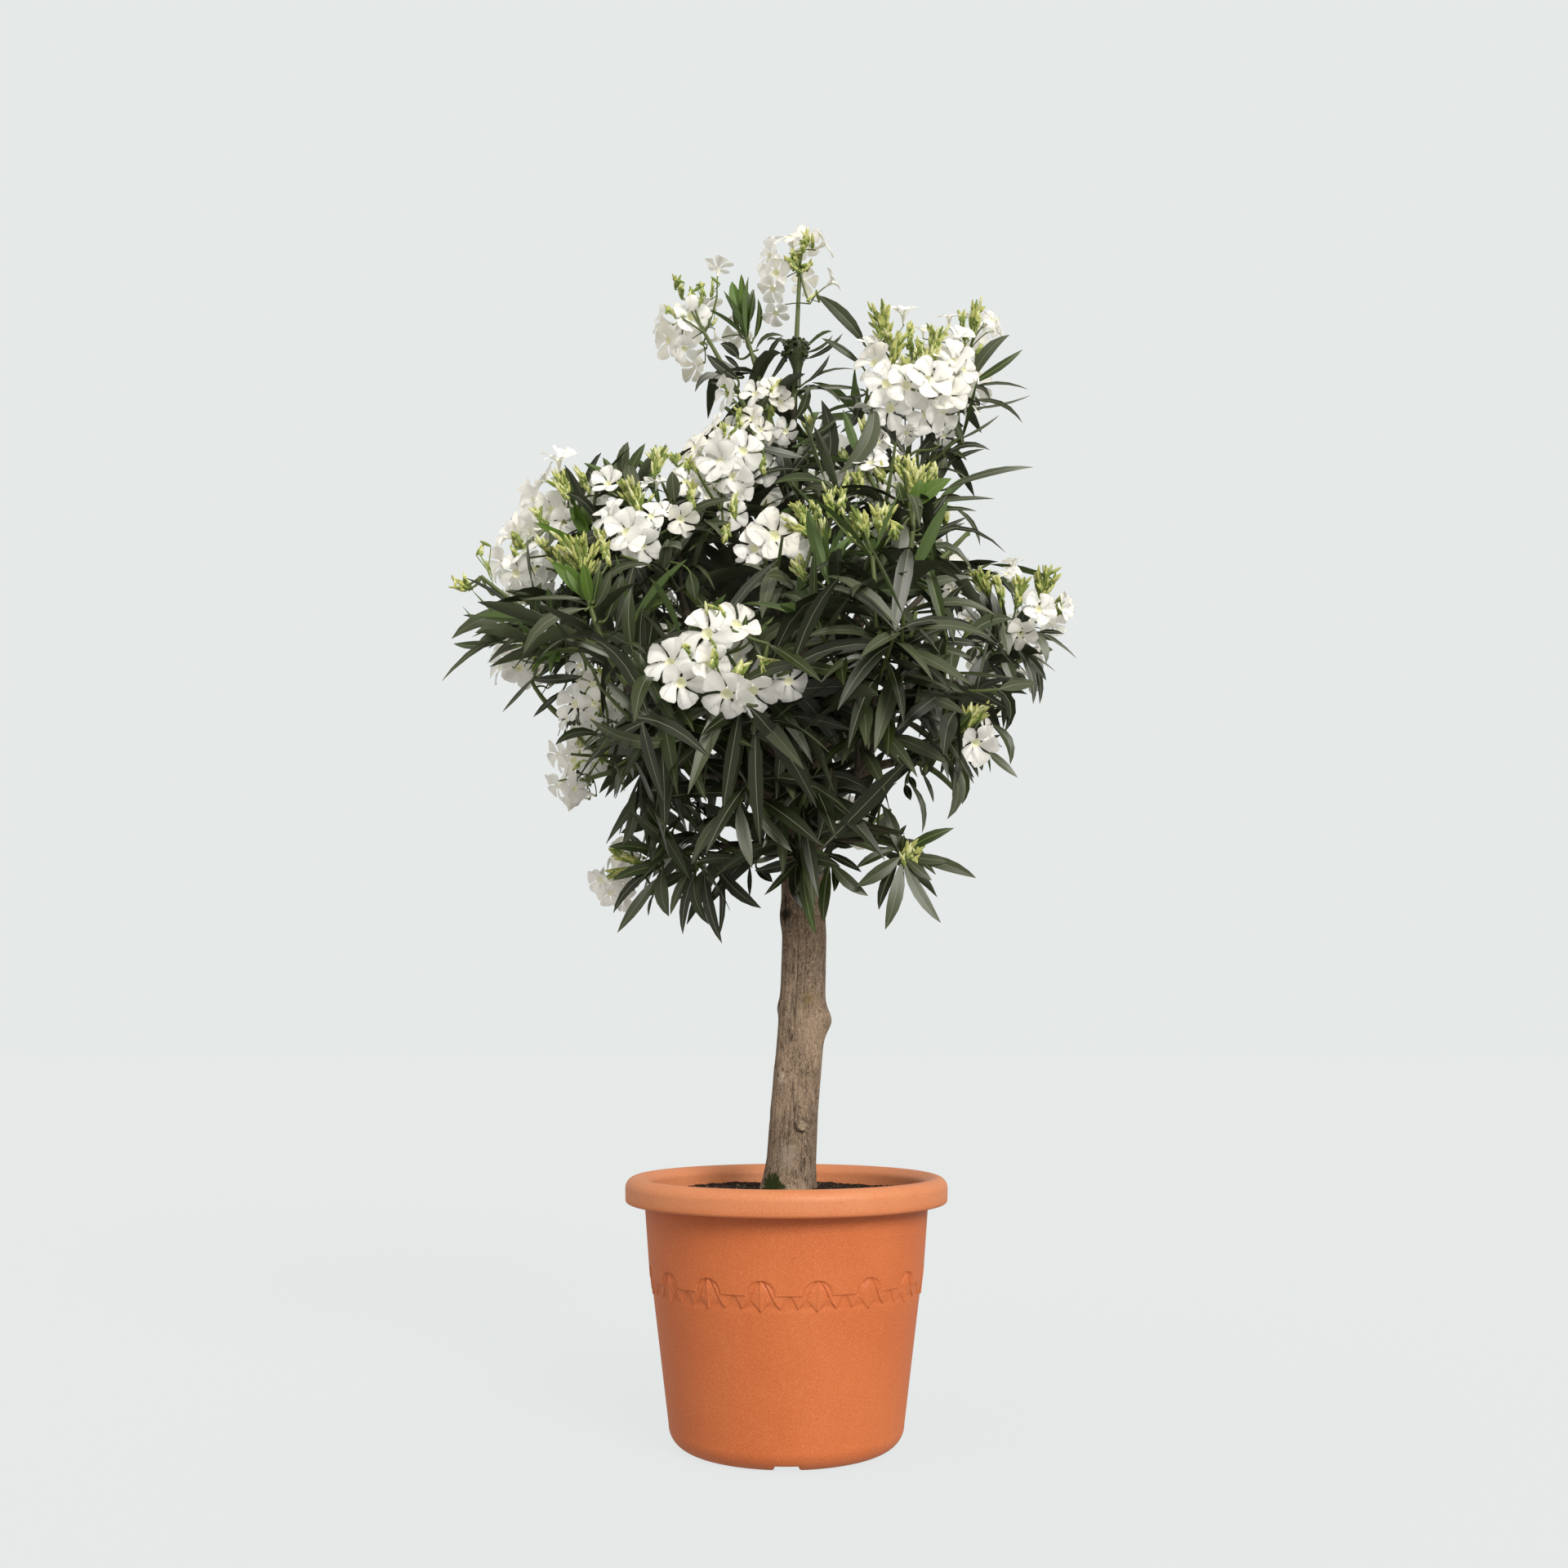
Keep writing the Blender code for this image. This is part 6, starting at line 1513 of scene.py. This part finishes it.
def add_flowers(heap, feet, centres, facing, random, size=None):
    """Flowers: five closed petals round a funnel, on a thin curved stalk.

    A petal's middle line runs out from the funnel, turns a little round it, rises and then bends
    back; its width grows to two thirds of the way and rounds off.
    """
    count = len(feet)
    if count == 0:
        return
    if size is None:
        size = random.uniform(0.84, 1.12, count)
    across, other = square_to(facing, 0.017)
    stalk_end = centres - facing * 0.021 * size[:, None]
    elbow = (feet + stalk_end) / 2 + facing * -0.004 + UP * 0.004
    add_stalks(heap, curve(feet, elbow, stalk_end, 5), 0.0010, 0.0008, 4, STEM)
    tube_at = np.array([-0.0215, -0.0185, -0.0120, -0.0050, 0.0, -0.0030, -0.0062])
    tube_radius = np.array([0.0011, 0.0019, 0.0024, 0.0042, 0.0066, 0.0042, 0.0022])
    around = spun(turns(10), across[:, None], other[:, None])
    middle = centres[:, None] + facing[:, None] * (tube_at[None] * size[:, None])[..., None]
    points = middle[:, :, None] + (tube_radius[None] * size[:, None])[..., None, None] * around[:, None]
    bands = np.array([CALYX, CREAM, CREAM, WHITE, THROAT, THROAT])
    heap.add_copies(points, np.broadcast_to(np.repeat(bands, 10), (count, 60)), np.full(count, THROAT))
    t = PETAL_ALONG
    each, size = (count, PETALS, 1), size[:, None, None]
    across, other, facing = (way[:, None, None] for way in (across, other, facing))
    start = random.uniform(0, 2 * math.pi, (count, 1, 1))
    angle = start + turns(PETALS)[None, :, None] + 0.34 * t + random.uniform(-0.10, 0.10, each)
    reach = (PETAL_FOOT + (FLOWER_RADIUS - PETAL_FOOT) * t) * size
    openness = random.uniform(0.05, 0.75, (count, 1, 1)) + random.uniform(-0.12, 0.12, each)
    rise = FLOWER_RADIUS * (openness * t - (0.10 + 0.30 * openness) * t**2.2) * size
    line = centres[:, None, None] + spun(angle, across, other) * reach[..., None] + facing * rise[..., None]
    tangent = unit(np.gradient(line, axis=2))
    side = level_with(spun(angle, other, -across), tangent)
    side, top = rolled(random.uniform(-0.10, 0.45, each), side, np.cross(tangent, side))
    half = PETAL_WIDE * size * random.uniform(0.92, 1.10, each)
    skew = 0.18 * t
    wide = np.stack([half * (1 + skew), 0 * half, -half * (1 - skew), -0.52 * half, 0 * half, 0.52 * half], axis=-1)
    wave = random.uniform(-1, 1, each) * t**2 * 0.30
    cup = half * 0.14 * 0.2
    lift = np.stack([
        half * (0.10 + wave), -0.0007 + 0 * half, half * (0.10 - wave), cup, 0 * half + 0.0003, cup,
    ], axis=-1)
    points = line[..., None, :] + wide[..., None] * side[..., None, :] + lift[..., None] * top[..., None, :]
    tone = np.repeat(random.choice([WHITE, CREAM], count, p=[0.8, 0.2]), PETALS)
    heap.add_copies(points.reshape(-1, 6, 6, 3)[:, :, ::-1], np.repeat(tone[:, None], 30, axis=1), tone)


def add_buds(heap, feet, centres, facing, random):
    """Buds: slim spindles, each on a thin stalk, thickest a third of the way up and drawn to a point."""
    count = len(feet)
    if count == 0:
        return
    size = random.uniform(0.75, 1.20, count)[:, None]
    direction = unit(facing + random.normal(0, 0.12, (count, 3)))
    start = centres - direction * (BUD_LENGTH * size)
    bow = (feet + start) / 2 + random.normal(0, 0.002, (count, 3))
    add_stalks(heap, curve(feet, bow, start, 4), 0.0009, 0.0007, 3, CALYX)
    at = np.array([0.0, 0.12, 0.38, 0.68, 0.92, 1.0])
    radius = np.array([0.0008, 0.0016, 0.0024, 0.0020, 0.0010, 0.0002])
    line = start[:, None] + direction[:, None] * (at[None] * (BUD_LENGTH * size))[..., None]
    pale = random.choice([BUD, BUD_CREAM, CALYX], count, p=[0.50, 0.30, 0.20])
    low = np.where(pale == BUD_CREAM, BUD, CALYX)
    bands = np.stack([np.full(count, CALYX), low, pale, pale, pale], axis=-1)
    add_tubes(heap, line, radius[None] * size, 6, bands)


def add_spire_node(heap):
    """The knobbly fan below the bare flower stalk: a widening cone whose crown is set with small lumps."""
    random = rng(SEED, 9)
    base, top = framed(977.0, 474.0, -0.004), framed(975.0, 421.0, -0.004)
    line = curve(base, (base + top) / 2, top, 6)
    add_tubes(heap, line[None], np.array([[0.0040, 0.0046, 0.0062, 0.0100, 0.0150, 0.0165]]), 14, np.array([MID]))
    count = 150
    away = np.sqrt(random.uniform(0, 1, count)) * 0.0185
    rise = random.uniform(-0.022, 0.004, count) * (away / 0.0185) - 0.35 * away + 0.004
    centres = top + level_points(away, np.arange(count) * GOLDEN_TURN, rise)
    tones = random.choice([MID, YOUNG, DARK], count, p=[0.35, 0.50, 0.15])
    add_lumps(heap, centres, random.uniform(0.0022, 0.0036, count), random, tones)


def free_rows(middles, reach, told):
    """Balls that leaves stay clear of: middle, reach, and one if it is told and mayn't be covered."""
    ones = np.ones(len(middles))
    return np.column_stack([middles, reach * ones, told * ones])


def told_blossom(name, twigs, blossom, random):
    """The flowers and brushes of buds told one by one, each on its stalk from the nearest shoot's end."""
    brushes, flowers = told_rows(BRUSHES_AT, name, BRUSH_UNITS), told_rows(FLOWERS_AT, name, FLOWER_UNITS)
    ends = np.array([twig["path"][-1] for twig in twigs if twig["order"] == 1])
    foot, crown = (framed(brushes[:, k], brushes[:, k + 1], brushes[:, 5]) for k in (0, 2))
    half_width = brushes[:, 4] * 0.5 * FRAME_UNIT
    if len(brushes):
        path = curve(nearest(foot, ends), (nearest(foot, ends) + foot) / 2 - 0.25 * (crown - foot), foot, 6)
        add_stalks(blossom, path, 0.0019, 0.0014, 5, STEM)
        each = np.repeat(np.arange(len(brushes)), (1.8 * brushes[:, 6]).astype(int))
        axis, half = (crown - foot)[each], half_width[each, None]
        share = random.uniform(0.35, 1.05, (len(each), 1)) ** 0.8
        away = random.normal(0, 0.50, (len(each), 3)).clip(-1, 1) * half * share * np.array([1.0, 0.8, 0.5])
        tip = foot[each] + axis * share + away - axis * 0.25 * (away / half) ** 2 * share
        way = unit(0.9 * unit(axis) + 0.9 * away / half)
        rooted = foot[each] + axis * (share - 0.55).clip(0.02, 1.0) + away * 0.25
        add_buds(blossom, rooted, tip, way, random)
        ends = np.concatenate([ends, foot])
    free = [free_rows((foot + 2 * crown) / 3, half_width, 1)]
    if len(flowers):
        centre = framed(*flowers[:, :3].T)
        facing = unit(unit(flowers[:, 3:6]) + random.normal(0, 0.16, (len(flowers), 3)))
        back = centre - 0.02 * facing
        near = nearest(back, ends, 0.3 * (ends[:, 2] - back[:, None, 2]).clip(-1, 0))
        radius = flowers[:, 6] * FRAME_UNIT
        add_flowers(blossom, near, centre, facing, random, radius / FLOWER_RADIUS)
        free.append(free_rows(centre + facing * 0.014, radius * 0.9, centre[:, 1] < 0.035))
    return free


def make_blossom(name, twigs, finishes, random):
    """A mass's flowers and buds, as one piece. Gives the middles and reach of what leaves stay clear of.

    A mass with told flowers bears those, and by rule only what stands behind its shoots' ends.
    """
    blossom = Heap()
    free = told_blossom(name, twigs, blossom, random)
    for twig in twigs:
        if twig["order"] != 1 or not HEADS[twig["head"]][0]:
            continue
        (foot, end), flowers, buds = head_layout(twig, random)
        behind = twig["path"][-1][1] + 0.014 if name in BRUSHES_AT else -1.0
        own = end[:, 1] > behind
        foot, end = foot[own], end[own]
        own = (flowers[1][:, 1] > behind) & seen_inside(flowers[1], 0.014)
        flowers = [part[own] for part in flowers]
        own = (buds[0][:, 1] > behind) & seen_inside(buds[1])
        rise = np.linspace(0, 1, 4)[None, :, None]
        branch = foot[:, None] * (1 - rise) + end[:, None] * rise + UP * 0.004 * (rise * (1 - rise)) * 4
        add_stalks(blossom, branch, 0.0016, 0.0011, 5, STEM)
        add_flowers(blossom, *flowers, random)
        add_buds(blossom, *(part[own] for part in buds), random)
        free.append(free_rows(flowers[1] + flowers[2] * 0.012, 0.024, 0))
        free.append(free_rows(end + UP * 0.014, 0.020, 0))
    if blossom.count:
        blossom.make("blossom_" + name, finishes, "foliage", sharp=50.0)
    return free


def make_leaves(name, twigs, finishes, kept_free, random):
    """A mass's leaves as one piece, which stands for its solid, and its twigs as another."""
    leaves, stems = Heap(), Heap()
    sites = []
    for twig in twigs:
        rings, order = len(twig["path"]), twig["order"]
        radii = np.interp(np.linspace(0, 1, rings), np.linspace(0, 1, len(twig["radii"])), twig["radii"])
        woody = np.linspace(0, 1, rings - 1) < (2.0, 0.50, 0.15)[order]
        add_tubes(stems, twig["path"][None], radii[None], 8 if order else 12, np.where(woody, WOOD, STEM)[None])
        if order:
            sites.append(leaf_sites(twig, WHORL_SPACING * SPARSE.get(name, 1.0), random))
            sites.append(tuft_sites(twig, random))
    told = told_leaves(name, twigs, stems, random)
    if name == "top":
        add_spire_node(stems)
    add_leaves(leaves, sites, kept_free, random, told)
    leaves.make("leaves_" + name, finishes, "foliage", ("crown_" + name,), sharp=40.0)
    stems.make("twigs_" + name, finishes, "foliage", sharp=60.0)


def make_crown(paths, finishes):
    """Every mass: first all blossom, then the leaves that keep clear of it."""
    twigs = grow(paths)
    free = []
    for index, name in enumerate(sorted(MASSES)):
        free += make_blossom(name, twigs[name], finishes, rng(SEED + 2, index))
    kept_free = np.concatenate(free)
    for index, name in enumerate(sorted(MASSES)):
        make_leaves(name, twigs[name], finishes, kept_free, rng(SEED + 1, index))


# ---------------------------------------------------------------- camera, floor and light
def make_camera():
    """A camera two metres in front of the plant, at knee height, tipped up a little."""
    lens = bpy.data.cameras.new("camera")
    lens.sensor_width = SENSOR
    lens.lens = LENS
    lens.clip_start = 0.05
    lens.clip_end = 100.0
    camera = bpy.data.objects.new("camera", lens)
    camera.location = (EYE_ACROSS, -EYE_DISTANCE, EYE_HEIGHT)
    camera.rotation_euler = (math.radians(90) + EYE_TILT, 0.0, 0.0)
    bpy.context.scene.collection.objects.link(camera)
    bpy.context.scene.camera = camera


def make_stage():
    """A very large pale floor disc. It is partly its own pale light, so that shadows on it stay faint."""
    points = level_points(FLOOR_REACH, turns(96), -0.0004)
    mesh = bpy.data.meshes.new("floor")
    mesh.from_pydata(points.tolist(), [], [list(range(len(points)))])
    floor = bpy.data.objects.new("floor", mesh)
    bpy.context.scene.collection.objects.link(floor)
    made = Finish("pale_floor", BACKDROP, 0.9, specular=0.0)
    glow = made.node("ShaderNodeEmission", {}, {"Color": (*BACKDROP, 1.0), "Strength": 1.0})
    dim = made.node("ShaderNodeEmission", {}, {"Color": (*WARM_WHITE, 1.0), "Strength": BOUNCE})
    seen = made.node("ShaderNodeLightPath", {}, {})
    glow = made.node("ShaderNodeMixShader", {}, {0: seen, 1: dim, 2: glow})
    paint = Wire(made, made.shader.outputs[0])
    mixed = made.node("ShaderNodeMixShader", {}, {0: SHADOW_SHARE, 1: glow, 2: paint})
    made.feed(made.tree.nodes["Material Output"].inputs["Surface"], mixed)
    mesh.materials.append(made.material)


def make_light():
    """A wide soft key from the front right above, a weak fill from the left, and a dim even sky."""
    world = bpy.data.worlds.new("studio")
    bpy.context.scene.world = world
    world.use_nodes = True
    tree = world.node_tree
    seen, strength, colour = (tree.nodes.new("ShaderNode" + kind) for kind in ("LightPath", "MapRange", "Mix"))
    strength.inputs["To Min"].default_value = SKY
    strength.inputs["To Max"].default_value = 1.0
    colour.data_type = "RGBA"
    colour.inputs[6].default_value = (*WARM_WHITE, 1.0)
    colour.inputs[7].default_value = (*BACKDROP, 1.0)
    shade = tree.nodes["Background"]
    for output, socket in (
        (seen.outputs["Is Camera Ray"], strength.inputs["Value"]), (seen.outputs["Is Camera Ray"], colour.inputs[0]),
        (colour.outputs[2], shade.inputs["Color"]), (strength.outputs["Result"], shade.inputs["Strength"]),
    ):
        tree.links.new(output, socket)
    for name, energy, spread, towards in SUNS:
        lamp = bpy.data.lights.new(name, "SUN")
        lamp.energy = energy
        lamp.color = LAMP_COLOUR
        lamp.angle = math.radians(spread)
        holder = bpy.data.objects.new(name, lamp)
        back = -unit(towards)
        side = unit(np.cross(-back, UP))
        turned = np.eye(4)
        turned[:3, 0], turned[:3, 1], turned[:3, 2] = side, np.cross(back, side), back
        holder.matrix_world = turned.T.tolist()
        bpy.context.scene.collection.objects.link(holder)


def main():
    """Builds the stage, the light and every piece."""
    bpy.context.scene.view_settings.view_transform = "Standard"
    bpy.context.scene.view_settings.look = "None"
    make_camera()
    make_stage()
    make_light()
    make_pot(pot_finish())
    make_soil([
        soil_finish("soil_dark", (0.010, 0.005, 0.003), (0.045, 0.026, 0.016)),
        soil_finish("soil_brown", (0.030, 0.016, 0.010), (0.090, 0.050, 0.030)),
        soil_finish("soil_pale", (0.120, 0.080, 0.050), (0.260, 0.190, 0.130)),
    ])
    make_trunk(bark_finish("trunk_bark", (0.250, 0.184, 0.130), (0.078, 0.052, 0.034), TRUNK_MARKS))
    paths, bends = bough_paths()
    make_boughs(paths, bends, bark_finish("bough_bark", (0.150, 0.120, 0.085), (0.060, 0.045, 0.032)))
    make_crown(paths, crown_finishes())


main()
